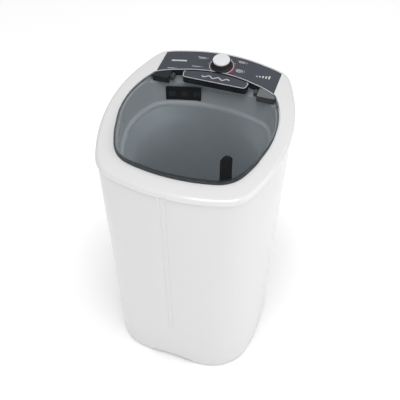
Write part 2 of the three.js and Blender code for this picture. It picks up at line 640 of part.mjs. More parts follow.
// ---------------------------------------------------------------- agitator and drive
function addAgitator() {
  const foot = TANK_FLOOR + 12;
  const profile = [[0, 450], [SHAFT_RADIUS + GAP, 450], [SHAFT_RADIUS + GAP, foot],
    [140, foot], [143, foot + 4], [138, foot + 10], [80, foot + 22],
    [52, foot + 48], [40, 500], [34, 575], [0, 575]];
  const hub = turned(profile, 0, SPINDLE_Y, 36);
  const fins = [0, 1, 2, 3].map((quarter) => {
    const outline = [[30, foot + 6], [132, foot + 6], [126, foot + 40], [70, foot + 62], [48, 560], [30, 560]]
      .map(([x, z]) => new THREE.Vector2(x, z));
    return plateAlongX(outline, 9).rotateZ(quarter * Math.PI / 2).translate(0, SPINDLE_Y, 0);
  });
  piece("agitator", join(hub, ...fins), SLATE);
  const cap = turned([[0, 575 + GAP], [33, 575 + GAP], [30, 592], [0, 600]], 0, SPINDLE_Y);
  piece("agitator_cap", cap, CAP_GREY);
}

function pulley(pitchRadius, bore, x, y) {
  const [bottom, top] = [PULLEY_Z, PULLEY_Z + PULLEY_HEIGHT];
  const rim = pitchRadius + 5;
  const groove = pitchRadius - 5.5;
  return turned([[bore, bottom], [rim, bottom], [rim, bottom + 4], [groove, bottom + 5.5],
    [groove, top - 5.5], [rim, top - 4], [rim, top], [bore, top], [bore, bottom]], x, y, 36);
}

function beltLoop(offset) {
  const distance = MOTOR_Y - SPINDLE_Y;
  const large = DRIVE_PULLEY_RADIUS + offset;
  const small = MOTOR_PULLEY_RADIUS + offset;
  const lean = Math.asin((large - small) / distance);
  const loop = new THREE.Path();
  loop.absarc(0, SPINDLE_Y, large, Math.PI - lean, lean, false);
  loop.absarc(0, MOTOR_Y, small, lean, Math.PI - lean, false);
  return loop.getPoints(18);
}

function addDrive() {
  const boreGap = SHAFT_RADIUS + GAP;
  piece("agitator_shaft", post(SHAFT_RADIUS, 258, 448, 0, SPINDLE_Y), STEEL);
  piece("shaft_seal", turnedRing(boreGap + 0.2, 18.5, 368, 378, 0, SPINDLE_Y), RUBBER);
  piece("bearing_housing", turned([[boreGap + 0.2, 310], [26, 310], [30, 340], [60, 352], [60, 360],
    [boreGap + 0.2, 360], [boreGap + 0.2, 310]], 0, SPINDLE_Y), CAST);
  piece("drive_pulley", pulley(DRIVE_PULLEY_RADIUS, boreGap, 0, SPINDLE_Y), CAST);
  const nut = post(16, 262, PULLEY_Z - GAP, 0, SPINDLE_Y, 6);
  piece("pulley_nut", cut(nut, post(boreGap + GAP, 250, 280, 0, SPINDLE_Y)), STEEL);

  const belt = new THREE.Shape(beltLoop(4));
  belt.holes.push(new THREE.Path(beltLoop(-4)));
  const middle = PULLEY_Z + PULLEY_HEIGHT / 2;
  piece("drive_belt", new THREE.ExtrudeGeometry(belt, { depth: 9, bevelEnabled: false })
    .translate(0, 0, middle - 4.5), RUBBER);
}

function addMotor() {
  const shaft = 6;
  const [low, high] = [MOTOR_BOTTOM, MOTOR_TOP];
  const housing = [[0, low], [40, low], [56, low + 8], [56, low + 24], [MOTOR_RADIUS, low + 28],
    [MOTOR_RADIUS, high - 28], [56, high - 24], [56, high - 8], [24, high], [shaft + 0.5, high],
    [shaft + 0.5, 200], [0, 200]];
  piece("motor_housing", turned(housing, 0, MOTOR_Y), CAST);
  piece("motor_shaft", post(shaft, 202, 303, 0, MOTOR_Y, 24), STEEL);
  piece("motor_pulley", pulley(MOTOR_PULLEY_RADIUS, shaft + GAP, 0, MOTOR_Y), CAST);

  const top = low - GAP;
  const plate = boxBetween([-75, MOTOR_Y - 55, top - 4], [75, MOTOR_Y + 55, top]);
  const legs = [-1, 1].map((side) => {
    const [x0, x1] = side > 0 ? [71, 75] : [-75, -71];
    return boxBetween([x0, MOTOR_Y - 55, BASE_PAN.top + GAP], [x1, MOTOR_Y + 55, top - 2]);
  });
  piece("motor_cradle", join(plate, ...legs), STEEL);
  piece("run_capacitor", post(20, BASE_PAN.top + GAP, 96, 120, MOTOR_Y, 24), PANEL_GREY);
}

// ---------------------------------------------------------------- water and wiring
function addDrain() {
  const { x, y } = DRAIN_HOLE;
  const elbow = turned([[9, 334], [14, 334], [14, 358], [22, 358], [22, 370], [11.5, 370], [11.5, 378],
    [9, 378], [9, 334]], x, y, 24);
  piece("drain_outlet", elbow, PANEL_GREY);
  const spigotFoot = [[9, -20], [13, -20], [13, 1.5], [18, 1.5], [18, 5], [12, 5]];
  const spigot = turned([...spigotFoot, [11, 26], [9, 26], [9, -20]], 0, 0, 24);
  piece("drain_spigot", onRearWall(spigot, DRAIN_EXIT.x, DRAIN_EXIT.z), DARK_PLASTIC);
  const mouth = onRearWall(new THREE.BufferGeometry().setFromPoints([new THREE.Vector3(0, 0, -21),
    new THREE.Vector3(0, 0, -50)]), DRAIN_EXIT.x, DRAIN_EXIT.z).attributes.position.array;
  piece("drain_hose", tubeAlong([[x, y, 333.6], [x, y, 300], [x - 12, y + 20, 230], [x - 28, 70, 160],
    [...mouth.slice(3, 6)], [...mouth.slice(0, 3)]], 11, 32), PANEL_GREY);
}

function addWiring() {
  const gland = [[5, -12], [8, -12], [8, 1.5], [13, 1.5], [13, 4], [9, 9], [5, 9], [5, -12]];
  piece("cord_gland", onRearWall(turned(gland, 0, 0, 24), CORD_EXIT.x, CORD_EXIT.z), RUBBER);
  piece("control_harness", tubeAlong([[20, 234, 914], [24, 240, 880], [60, 232, 700], [60, 226, 450],
    [58, 205, 320], [48, MOTOR_Y + 22, 266]], 5, 36, 8), RUBBER);
}

addCabinet();
addBase();
addTopCover();
addFascia();
addTimer();
addKnob();
addLid();
addHinges();
addTub();
addLintFilter();
addAgitator();
addDrive();
addMotor();
addDrain();
addWiring();

export default washer;
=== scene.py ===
"""Looks of the top load washing machine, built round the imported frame.

Sizes are millimetres in the machine's own frame (+Z up, +Y to the back) and become metres where a
mesh is made. Outlines repeat the driving dimensions of the part.
"""
import json
import math

import bmesh
import bpy
import numpy as np
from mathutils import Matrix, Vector


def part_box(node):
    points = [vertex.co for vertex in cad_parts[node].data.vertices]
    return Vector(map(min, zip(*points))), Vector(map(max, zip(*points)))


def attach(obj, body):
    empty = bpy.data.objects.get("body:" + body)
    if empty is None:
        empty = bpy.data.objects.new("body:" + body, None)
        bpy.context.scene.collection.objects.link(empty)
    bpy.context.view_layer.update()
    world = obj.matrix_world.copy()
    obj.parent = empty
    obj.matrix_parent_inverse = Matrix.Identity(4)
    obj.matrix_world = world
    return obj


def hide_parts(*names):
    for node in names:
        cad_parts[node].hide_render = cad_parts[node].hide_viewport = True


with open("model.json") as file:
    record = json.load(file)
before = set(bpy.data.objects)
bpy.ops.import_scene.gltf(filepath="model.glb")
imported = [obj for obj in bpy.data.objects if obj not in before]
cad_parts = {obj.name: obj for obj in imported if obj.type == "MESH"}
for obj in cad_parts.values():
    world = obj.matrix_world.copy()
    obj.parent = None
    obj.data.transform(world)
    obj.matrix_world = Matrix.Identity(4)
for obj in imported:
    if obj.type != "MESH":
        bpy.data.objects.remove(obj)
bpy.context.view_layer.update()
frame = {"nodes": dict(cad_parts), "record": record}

# ---------------------------------------------------------------- driving dimensions
MM = 0.001
SPINDLE_Y = -22
DECK_HEIGHT = 936.4
DECK_SLOPE = 0.16
DECK_TILT = math.atan(DECK_SLOPE)
GAP = 0.3

CABINET_BOTTOM = 6
BASE_PAN = {"bottom": 24, "top": 30}
WALL = 4
COLLAR_SKIRT = 33
COLLAR_OVERHANG = 5
SHOULDER_RADIUS = 14
RIM_DROP_FRONT = 19
RIM_FLUSH_Y = 150
RIM_FRONT_Y = -240
COVER_SKIN = 7
THROAT_FLOOR = 850
TRENCH_DEPTH = 26
TRENCH_START_Y = 95
TRENCH_FULL_Y = 127
TRENCH_DEEP = 42
TRENCH_DEEP_X = 140
TRENCH_SHALLOW_X = 175

LID_THICKNESS = 3
LID_SKIRT_MIN = 5
LID_FLARE = 3
LID_CLEARANCE = 3
BRACKET_X = 148
BRACKET_END_X = 204
BRACKET_V = 129
BADGE = {"front_half": 106, "back_half": 111, "front_v": 145, "corner": 10, "depth": 22, "thickness": 1.5}

FASCIA_HALF_WIDTH = 197
FASCIA_THICKNESS = 3
APRON_DEPTH = 24
APRON_THICKNESS = 3
APRON_START_Y = 124
APRON_END_Y = 142
KNOB_V = 231
KNOB_BASE_RADIUS = 36
KNOB_TOP_RADIUS = 29
KNOB_CAP_RADIUS = 28
KNOB_HEIGHT = 22
DIAL_ARC = (-84, -12)
INK_FOOT = -0.02

TANK_RADIUS_TOP = 186
TANK_RADIUS_BOTTOM = 178
TANK_FLOOR = 376
SHAFT_RADIUS = 9
DRIVE_PULLEY_RADIUS = 115
MOTOR_PULLEY_RADIUS = 23
PULLEY_Z = 275
PULLEY_HEIGHT = 22
MOTOR_Y = 150
MOTOR_RADIUS = 62
MOTOR_BOTTOM = 130
MOTOR_TOP = 262

REAR_OPENING = {"half_width": 150, "bottom": 70, "top": 330}
DRAIN_EXIT = {"x": -178, "z": 120, "radius": 14}
CORD_EXIT = {"x": 178, "z": 120, "radius": 9}
DRAIN_HOLE = {"x": -148, "y": SPINDLE_Y, "radius": 12}
TOE_NOTCH = {"half_width": 80, "top": 20}
FOOT_PLACES = {
    "front_left": (-185, -195),
    "front_right": (185, -195),
    "rear_left": (-165, 190),
    "rear_right": (165, 190),
}
ROUNDING_STEPS = 6
SHARP_ANGLE = math.radians(38)
GROOVE = {"x": 8.5, "half_width": 2.2, "depth": 1.6, "bottom": 168, "top": 866}
FILTER = {"angle": -34.7, "distance": 158, "width": 38, "thickness": 12, "bottom": 600, "top": 894}
FILTER_WINDOWS = {"bottom": 640, "top": 800, "count": 4}

# Half outlines in plan, from the front round to the back: x, y, corner radius.
LID_OUTLINE = [(0, -257, 630), (191, -212, 100), (270, 13, 266), (203, 144, 79), (0, 214, 380)]
COLLAR_OUTLINE = [(0, -318, 635), (229, -265, 107), (334, -5, 458), (219, 255, 66), (0, 320, 507)]
BASE_OUTLINE = [(0, -289, 1246), (246, -284, 149), (274, 71, 441), (197, 237, 86), (0, 280, 560)]


# ---------------------------------------------------------------- small maths
def lerp(a, b, t):
    return a + (b - a) * t


def smoothstep(value, low, high):
    t = np.clip((value - low) / (high - low), 0, 1)
    return t * t * (3 - 2 * t)


def on_deck(points):
    """Deck coordinates (x, up the slope, square to it) to the machine's frame."""
    x, v, w = np.asarray(points, float).T
    sin, cos = math.sin(DECK_TILT), math.cos(DECK_TILT)
    return np.stack([x, v * cos - w * sin, DECK_HEIGHT + v * sin + w * cos], 1)


def flat(points, w=0.0):
    """Plan points (x, v) at one height over the deck."""
    points = np.asarray(points, float)
    return np.column_stack([points, np.full(len(points), float(w))])


# ---------------------------------------------------------------- outlines
def rounded_polyline(half_outline, arc_points=24):
    """A closed polygon, mirrored in x, with each corner rounded by its own radius."""
    corners = half_outline + [(-x, y, r) for x, y, r in reversed(half_outline[1:-1])]
    points = []
    for i, (x, y, radius) in enumerate(corners):
        corner = Vector((x, y))
        before = (Vector(corners[i - 1][:2]) - corner).normalized()
        after = (Vector(corners[(i + 1) % len(corners)][:2]) - corner).normalized()
        half_angle = before.angle(after) / 2
        centre = corner + (before + after).normalized() * (radius / math.sin(half_angle))
        start = corner + before * (radius / math.tan(half_angle)) - centre
        end = corner + after * (radius / math.tan(half_angle)) - centre
        first = math.atan2(start.y, start.x)
        sweep = (math.atan2(end.y, end.x) - first) % math.tau
        for t in np.linspace(0, 1, arc_points):
            angle = first + sweep * t
            points.append((centre.x + radius * math.cos(angle), centre.y + radius * math.sin(angle)))
    return points


def outline_radius(half_outline, blur=math.radians(1.6)):
    """The distance from the spindle to an outline, as a smooth function of the angle."""
    points = np.array(rounded_polyline(half_outline)) - (0, SPINDLE_Y)
    angle = np.arctan2(points[:, 1], points[:, 0])
    order = np.argsort(angle)
    fine = np.linspace(-math.pi, math.pi, 1440, endpoint=False)
    radius = np.interp(fine, angle[order], np.hypot(*points[order].T), period=math.tau)
    waves = np.fft.fftfreq(len(fine), 1 / len(fine))
    radius = np.fft.ifft(np.fft.fft(radius) * np.exp(-((waves * blur) ** 2) / 2)).real
    return lambda a: np.interp(a, fine, radius, period=math.tau)


lid_radius = outline_radius(LID_OUTLINE)
collar_radius = outline_radius(COLLAR_OUTLINE)
base_radius = outline_radius(BASE_OUTLINE)
ROUND = np.linspace(-math.pi, math.pi, 288, endpoint=False)
REAR = np.linspace(math.radians(165), math.radians(15), 1500)


def circle(radius):
    return lambda angles: np.full(len(angles), float(radius))


def ring(radius, height, inset=0, angles=ROUND):
    """Points round the spindle. Height and inset may be functions: the height takes the point's y and
    the outline's own y and x there."""
    outline = radius(angles)
    probe_x = outline * np.cos(angles)
    probe_y = SPINDLE_Y + outline * np.sin(angles)
    distance = outline - (inset(probe_y) if callable(inset) else inset)
    x = distance * np.cos(angles)
    y = SPINDLE_Y + distance * np.sin(angles)
    z = height(y, probe_y, probe_x) if callable(height) else np.full(len(angles), float(height))
    return np.stack([x, y, z], 1)


def deck_z(y):
    return DECK_HEIGHT + DECK_SLOPE * y


def rim_drop(y):
    return RIM_DROP_FRONT * (1 - smoothstep(y, RIM_FRONT_Y, RIM_FLUSH_Y))


def skirt_depth(y):
    return np.maximum(LID_SKIRT_MIN, rim_drop(y) - 1)


def seat_depth(y, x):
    """How far the ledge round the throat lies below the deck: deepest at the back, between the hinges."""
    trench = lerp(TRENCH_DEEP, TRENCH_DEPTH, smoothstep(np.abs(x), TRENCH_DEEP_X, TRENCH_SHALLOW_X))
    return lerp(skirt_depth(y) + 1.5, trench, smoothstep(y, TRENCH_START_Y, TRENCH_FULL_Y))


def deck_ring(radius, depth, inset, angles=ROUND):
    """A ring that hangs square below the deck; depth takes the outline's y and x."""
    x, y, drop = ring(radius, lambda y, probe_y, probe_x: depth(probe_y, probe_x), inset, angles).T
    return np.stack([x, y + drop * math.sin(DECK_TILT), deck_z(y) - drop * math.cos(DECK_TILT)], 1)


def rear_arc(radius, inset, half_width, steps=121):
    """An outline's rear run on the deck, from the right to the left, as (x, v) points."""
    distance = radius(REAR) - inset
    across = np.linspace(half_width, -half_width, steps)
    y = np.interp(across, distance * np.cos(REAR), SPINDLE_Y + distance * np.sin(REAR))
    return np.stack([across, y / math.cos(DECK_TILT)], 1)


def rectangle(x0, y0, x1, y1):
    return [(x0, y0), (x1, y0), (x1, y1), (x0, y1)]


def rounded_outline(corners, sizes, steps=ROUNDING_STEPS):
    """A plan polygon with each corner rounded off; a size is where the rounding starts."""
    corners = np.asarray(corners, float)
    points = []
    for i, (corner, size) in enumerate(zip(corners, sizes)):
        points += soften(corners[i - 1], corner, corners[(i + 1) % len(corners)], size, steps)
    return np.array(points)


def rounded_rectangle(x0, y0, x1, y1, size, steps=ROUNDING_STEPS):
    return rounded_outline(rectangle(x0, y0, x1, y1), [size] * 4, steps)


def soften(before, corner, after, size, steps):
    """The points of a rounding that takes the place of a corner. Works on single points and on rings."""
    if not size:
        return [corner]
    ends = []
    for other in (before, after):
        way = other - corner
        length = np.maximum(np.linalg.norm(way, axis=-1, keepdims=True), 1e-9)
        ends.append(corner + way / length * np.minimum(size, 0.45 * length))
    start, end = ends
    shares = np.linspace(0, 1, steps + 1)
    return [(1 - t) ** 2 * start + 2 * t * (1 - t) * corner + t * t * end for t in shares]


# ---------------------------------------------------------------- meshes
def make_object(name, points, faces):
    mesh = bpy.data.meshes.new(name)
    mesh.from_pydata((np.asarray(points, float) * MM).tolist(), [], faces)
    piece = bpy.data.objects.new(name, mesh)
    bpy.context.scene.collection.objects.link(piece)
    clean(piece)
    return piece


def clean(piece):
    """Merges points that coincide and turns all faces outwards."""
    work = bmesh.new()
    work.from_mesh(piece.data)
    bmesh.ops.remove_doubles(work, verts=work.verts, dist=2e-6)
    bmesh.ops.dissolve_degenerate(work, edges=work.edges, dist=1e-6)
    bmesh.ops.recalc_face_normals(work, faces=work.faces)
    work.to_mesh(piece.data)
    work.free()


def loft(name, rings, looped=False, steps=4):
    """Skins rings of equal count. A ring may be a pair (ring, size): that edge is rounded off."""
    pairs = [entry if isinstance(entry, tuple) else (entry, 0) for entry in rings]
    bare = [pair[0] for pair in pairs]
    smooth = []
    for i, (points, size) in enumerate(pairs):
        smooth += soften(bare[i - 1], points, bare[(i + 1) % len(bare)], size, steps)
    count = len(smooth[0])
    faces = []
    for k in range(len(smooth) if looped else len(smooth) - 1):
        low, high = k * count, (k + 1) % len(smooth) * count
        for i in range(count):
            after = (i + 1) % count
            faces.append((low + i, low + after, high + after, high + i))
    if not looped:
        faces.append(tuple(reversed(range(count))))
        faces.append(tuple(range((len(smooth) - 1) * count, len(smooth) * count)))
    return make_object(name, np.concatenate(smooth), faces)


def turned(name, profile, x=0.0, y=0.0, closed=False, count=96, flutes=None):
    """A solid of revolution. Profile points are (radius, z) or (radius, z, rounding).

    flutes is (number, depth, z_low, z_high): shallow grooves that fade out at both ends.
    """
    angles = np.linspace(0, math.tau, count, endpoint=False)
    rings = []
    for radius, z, *rounding in profile:
        around = np.stack([x + radius * np.cos(angles), y + radius * np.sin(angles), np.full(count, z)], 1)
        rings.append((around, rounding[0] if rounding else 0))
    piece = loft(name, rings, looped=closed)
    if flutes:
        flute(piece, x, y, *flutes)
    return piece


def rod(radius, low, high, rounding=0.0):
    """The profile of a plain cylinder."""
    return [(0, low), (radius, low, rounding), (radius, high, rounding), (0, high)]


def flute(piece, x, y, number, depth, low, high):
    """Sinks shallow grooves into a turned piece; they fade out at both ends."""
    for vertex in piece.data.vertices:
        px, py, z = vertex.co / MM
        radius = math.hypot(px - x, py - y)
        if low < z < high and radius > 1:
            fade = math.sin(math.pi * (z - low) / (high - low)) ** 0.5
            wave = 0.5 + 0.5 * math.cos(number * math.atan2(py - y, px - x))
            scale = 1 - depth * wave * fade / radius
            vertex.co.x = (x + (px - x) * scale) * MM
            vertex.co.y = (y + (py - y) * scale) * MM


def slab(name, outline, low, high, place=on_deck, bevel=0.0):
    """A flat plate between two heights over a plan outline."""
    piece = loft(name, [place(flat(outline, low)), place(flat(outline, high))])
    if bevel:
        bevel_edges(piece, bevel)
    return piece


def box(name, low, high, place=np.asarray, bevel=0.0):
    (x0, y0, z0), (x1, y1, z1) = low, high
    return slab(name, rectangle(x0, y0, x1, y1), z0, z1, place, bevel)


def ribbon(name, path, width, low, high, closed=False, place=on_deck):
    """A flat strip along a plan path."""
    path = np.asarray(path, float)
    if closed:
        along = np.roll(path, -1, 0) - np.roll(path, 1, 0)
    else:
        along = np.gradient(path, axis=0)
    side = np.stack([-along[:, 1], along[:, 0]], 1)
    side *= width / 2 / np.linalg.norm(side, axis=1, keepdims=True)
    levels = [(path + side, low), (path + side, high), (path - side, high), (path - side, low)]
    edges = [place(flat(points, height)) for points, height in levels]
    return loft(name, list(np.stack(edges, 1)), looped=closed)


def tube(name, points, radius, sides=20, steps=160):
    """A round tube along a smooth path; radius may be a function of the distance along it."""
    path = smooth_path(points, steps)
    along = np.gradient(path, axis=0)
    along /= np.linalg.norm(along, axis=1, keepdims=True)
    travelled = np.concatenate([[0], np.cumsum(np.linalg.norm(np.diff(path, axis=0), axis=1))])
    side = np.cross(along[0], (0.3, 1, 0.2))
    angles = np.linspace(0, math.tau, sides, endpoint=False)
    rings = []
    for centre, way, distance in zip(path, along, travelled):
        side = side - way * side.dot(way)
        side /= np.linalg.norm(side)
        across = np.cross(way, side)
        size = radius(distance) if callable(radius) else radius
        rings.append(centre + size * (np.outer(np.cos(angles), side) + np.outer(np.sin(angles), across)))
    return loft(name, rings)


def smooth_path(points, steps):
    """A Catmull-Rom curve through the points, with evenly spaced samples."""
    points = np.asarray(points, float)
    padded = np.vstack([2 * points[0] - points[1], points, 2 * points[-1] - points[-2]])
    dense = []
    for a, b, c, d in zip(padded, padded[1:], padded[2:], padded[3:]):
        for t in np.linspace(0, 1, 40, endpoint=False):
            dense.append(0.5 * (2 * b + (c - a) * t + (2 * a - 5 * b + 4 * c - d) * t**2
                                + (3 * b - a - 3 * c + d) * t**3))
    dense = np.vstack([dense, points[-1]])
    length = np.concatenate([[0], np.cumsum(np.linalg.norm(np.diff(dense, axis=0), axis=1))])
    wanted = np.linspace(0, length[-1], steps)
    return np.stack([np.interp(wanted, length, dense[:, axis]) for axis in range(3)], 1)


def apply_modifiers(piece):
    evaluated = piece.evaluated_get(bpy.context.evaluated_depsgraph_get())
    mesh = bpy.data.meshes.new_from_object(evaluated)
    piece.modifiers.clear()
    piece.data = mesh


def combine(piece, operation, tools):
    """Cuts or joins a piece with tool objects, which are used up."""
    for tool in tools:
        modifier = piece.modifiers.new("combine", "BOOLEAN")
        modifier.operation = operation
        modifier.solver = "EXACT"
        modifier.object = tool
        apply_modifiers(piece)
        bpy.data.objects.remove(tool)
    return piece


def cut(piece, *tools):
    return combine(piece, "DIFFERENCE", tools)


def common(piece, *tools):
    return combine(piece, "INTERSECT", tools)


def gather(name, parts):
    """Joins separate solids into one piece without cutting them."""
    work = bmesh.new()
    for part in parts:
        work.from_mesh(part.data)
        bpy.data.objects.remove(part)
    mesh = bpy.data.meshes.new(name)
    work.to_mesh(mesh)
    work.free()
    piece = bpy.data.objects.new(name, mesh)
    bpy.context.scene.collection.objects.link(piece)
    return piece


def bevel_edges(piece, width, segments=3, angle=40, keep=False):
    modifier = piece.modifiers.new("bevel", "BEVEL")
    modifier.width = width * MM
    modifier.segments = segments
    modifier.limit_method = "ANGLE"
    modifier.angle_limit = math.radians(angle)
    modifier.harden_normals = False
    if not keep:
        apply_modifiers(piece)


def move(piece, transform):
    """Moves every point of a piece by a function of an array of points in millimetres."""
    count = len(piece.data.vertices)
    points = np.zeros(count * 3)
    piece.data.vertices.foreach_get("co", points)
    moved = transform(points.reshape(-1, 3) / MM) * MM
    piece.data.vertices.foreach_set("co", moved.ravel())
    piece.data.update()
    clean(piece)
    return piece


# ---------------------------------------------------------------- materials
class Nodes:
    """A material's node tree with short ways to add what every finish here needs."""

    def __init__(self, name):
        self.material = bpy.data.materials.new(name)
        self.material.use_nodes = True
        self.tree = self.material.node_tree
        self.shader = self.tree.nodes["Principled BSDF"]
        self.output = self.tree.nodes["Material Output"]
        self.place = self.add("ShaderNodeTexCoord").outputs["Object"]

    def add(self, kind, **settings):
        node = self.tree.nodes.new(kind)
        for key, value in settings.items():
            setattr(node, key, value)
        return node

    def link(self, source, target):
        self.tree.links.new(source, target)

    def feed(self, name, value):
        """Sets an input of the shader to a value, or links a socket to it."""
        socket = self.shader.inputs[name]
        if isinstance(value, bpy.types.NodeSocket):
            self.link(value, socket)
        else:
            socket.default_value = value

    def noise(self, scale, detail=2.0, roughness=0.5, stretch=(1, 1, 1)):
        mapping = self.add("ShaderNodeMapping")
        mapping.inputs["Scale"].default_value = stretch
        self.link(self.place, mapping.inputs["Vector"])
        node = self.add("ShaderNodeTexNoise")
        node.inputs["Scale"].default_value = scale
        node.inputs["Detail"].default_value = detail
        node.inputs["Roughness"].default_value = roughness
        self.link(mapping.outputs["Vector"], node.inputs["Vector"])
        return node.outputs["Fac"]

    def spread(self, source, low, high, source_low=0.3, source_high=0.7):
        node = self.add("ShaderNodeMapRange")
        limits = {"From Min": source_low, "From Max": source_high, "To Min": low, "To Max": high}
        for key, value in limits.items():
            node.inputs[key].default_value = value
        self.link(source, node.inputs["Value"])
        return node.outputs["Result"]

    def blend(self, factor, first, second):
        """Colour between first and second; either may be a colour or a socket."""
        node = self.add("ShaderNodeMix", data_type="RGBA")
        self.link(factor, node.inputs["Factor"])
        for key, value in (("A", first), ("B", second)):
            socket = next(s for s in node.inputs if s.name == key and s.type == "RGBA")
            if isinstance(value, bpy.types.NodeSocket):
                self.link(value, socket)
            else:
                socket.default_value = (*value, 1)
        return next(s for s in node.outputs if s.type == "RGBA")

    def bump(self, height, distance, strength=1.0, under=None):
        node = self.add("ShaderNodeBump")
        node.inputs["Strength"].default_value = strength
        node.inputs["Distance"].default_value = distance * MM
        self.link(height, node.inputs["Height"])
        if under:
            self.link(under, node.inputs["Normal"])
        return node.outputs["Normal"]

    def edges(self, low, high):
        """1 on the outer edges of a piece, where handling wears it."""
        return self.spread(self.add("ShaderNodeNewGeometry").outputs["Pointiness"], 0, 1, low, high)


def shade(colour, factor):
    return tuple(min(1.0, channel * factor) for channel in colour)


def plastic(name, colour, roughness, grain=0.01, grain_scale=900, mottle=0.03, wear=0.08, coat=0.0,
            smudges=0.2):
    """Moulded plastic: faint flow mottling, handled edges, a spark-eroded grain and uneven gloss."""
    nodes = Nodes(name)
    flow = nodes.spread(nodes.noise(5, 4, 0.6, (1, 1, 0.35)), 0, 1)
    body = nodes.blend(flow, shade(colour, 1 - mottle), shade(colour, 1 + mottle))
    fleck = nodes.spread(nodes.noise(260, 2), 0, 0.35, 0.55, 0.75)
    body = nodes.blend(fleck, body, shade(colour, 1 + 2 * mottle))
    worn = nodes.spread(nodes.edges(0.53, 0.62), 0, wear, 0, 1)
    body = nodes.blend(worn, body, shade(colour, 1.25))
    nodes.feed("Base Color", body)
    smudge = nodes.spread(nodes.noise(18, 5, 0.65), roughness * (1 - smudges), roughness * (1 + smudges))
    nodes.feed("Roughness", smudge)
    fine = nodes.bump(nodes.noise(grain_scale, 3, 0.6), grain)
    nodes.feed("Normal", nodes.bump(nodes.noise(12, 2), 0.01, 1, fine))
    nodes.feed("IOR", 1.49)
    nodes.feed("Coat Weight", coat)
    nodes.feed("Coat Roughness", 0.08)
    return nodes.material


def rubber(name, colour):
    """Matt rubber: dusty bloom in the hollows and a coarse skin."""
    nodes = Nodes(name)
    bloom = nodes.spread(nodes.noise(40, 5, 0.7), 0, 1)
    body = nodes.blend(bloom, colour, shade(colour, 2.2))
    nodes.feed("Base Color", body)
    nodes.feed("Roughness", nodes.spread(nodes.noise(90, 3), 0.68, 0.9))
    nodes.feed("Normal", nodes.bump(nodes.noise(700, 3), 0.05))
    nodes.feed("Sheen Weight", 0.15)
    return nodes.material


def metal(name, colour, roughness, brushed=(1, 1, 1), stain=0.12):
    """Bare metal: brushed or cast grain, dull patches and slightly brighter edges."""
    nodes = Nodes(name)
    nodes.feed("Metallic", 1.0)
    patch = nodes.spread(nodes.noise(30, 5, 0.6), 0, 1)
    body = nodes.blend(patch, shade(colour, 1 - stain), shade(colour, 1 + stain))
    body = nodes.blend(nodes.spread(nodes.edges(0.53, 0.6), 0, 0.5, 0, 1), body, shade(colour, 1.5))
    nodes.feed("Base Color", body)
    grain = nodes.noise(320, 4, 0.6, brushed)
    nodes.feed("Roughness", nodes.spread(grain, roughness * 0.75, roughness * 1.3))
    nodes.feed("Normal", nodes.bump(grain, 0.04))
    return nodes.material


def enamel(name, colour, roughness):
    """Sprayed enamel on a casting: orange peel over a rougher skin, rubbed edges."""
    nodes = Nodes(name)
    body = nodes.blend(nodes.spread(nodes.noise(24, 4), 0, 1), shade(colour, 0.88), shade(colour, 1.1))
    body = nodes.blend(nodes.spread(nodes.edges(0.54, 0.62), 0, 0.6, 0, 1), body, (0.45, 0.45, 0.46))
    nodes.feed("Base Color", body)
    gloss = nodes.spread(nodes.noise(60, 4), roughness * 0.8, roughness * 1.2)
    nodes.feed("Roughness", gloss)
    peel = nodes.bump(nodes.noise(420, 2), 0.06)
    nodes.feed("Normal", nodes.bump(nodes.noise(70, 3), 0.25, 0.6, peel))
    return nodes.material


def smoked_sheet(name, tint, haze):
    """Polished smoked plastic that lets light straight through: a gloss skin over a tinted clear body."""
    nodes = Nodes(name)
    nodes.feed("IOR", 1.49)
    smear = nodes.noise(9, 5, 0.6)
    nodes.feed("Roughness", nodes.spread(smear, 0.03, 0.09))
    flow = nodes.spread(nodes.noise(4, 3), 0, 1)
    dust = (0.05, 0.054, 0.058)
    body = nodes.blend(flow, shade(dust, 0.9), shade(dust, 1.15))
    nodes.feed("Base Color", body)
    nodes.feed("Normal", nodes.bump(nodes.noise(14, 2), 0.02))
    clear = nodes.add("ShaderNodeBsdfTransparent")
    nodes.link(nodes.blend(flow, shade(tint, 0.985), shade(tint, 1.015)), clear.inputs["Color"])
    mixer = nodes.add("ShaderNodeMixShader")
    mixer.inputs["Fac"].default_value = haze
    nodes.link(clear.outputs["BSDF"], mixer.inputs[1])
    nodes.link(nodes.shader.outputs["BSDF"], mixer.inputs[2])
    nodes.link(mixer.outputs["Shader"], nodes.output.inputs["Surface"])
    return nodes.material


def print_ink(name, colour):
    """Screen-printed ink: nearly flat, slightly broken up at the edges of the dots."""
    nodes = Nodes(name)
    body = nodes.blend(nodes.spread(nodes.noise(1500, 2), 0, 1), shade(colour, 0.94), shade(colour, 1.04))
    nodes.feed("Base Color", body)
    nodes.feed("Roughness", nodes.spread(nodes.noise(80, 2), 0.36, 0.5))
    nodes.feed("Normal", nodes.bump(nodes.noise(1500, 2), 0.01))
    return nodes.material


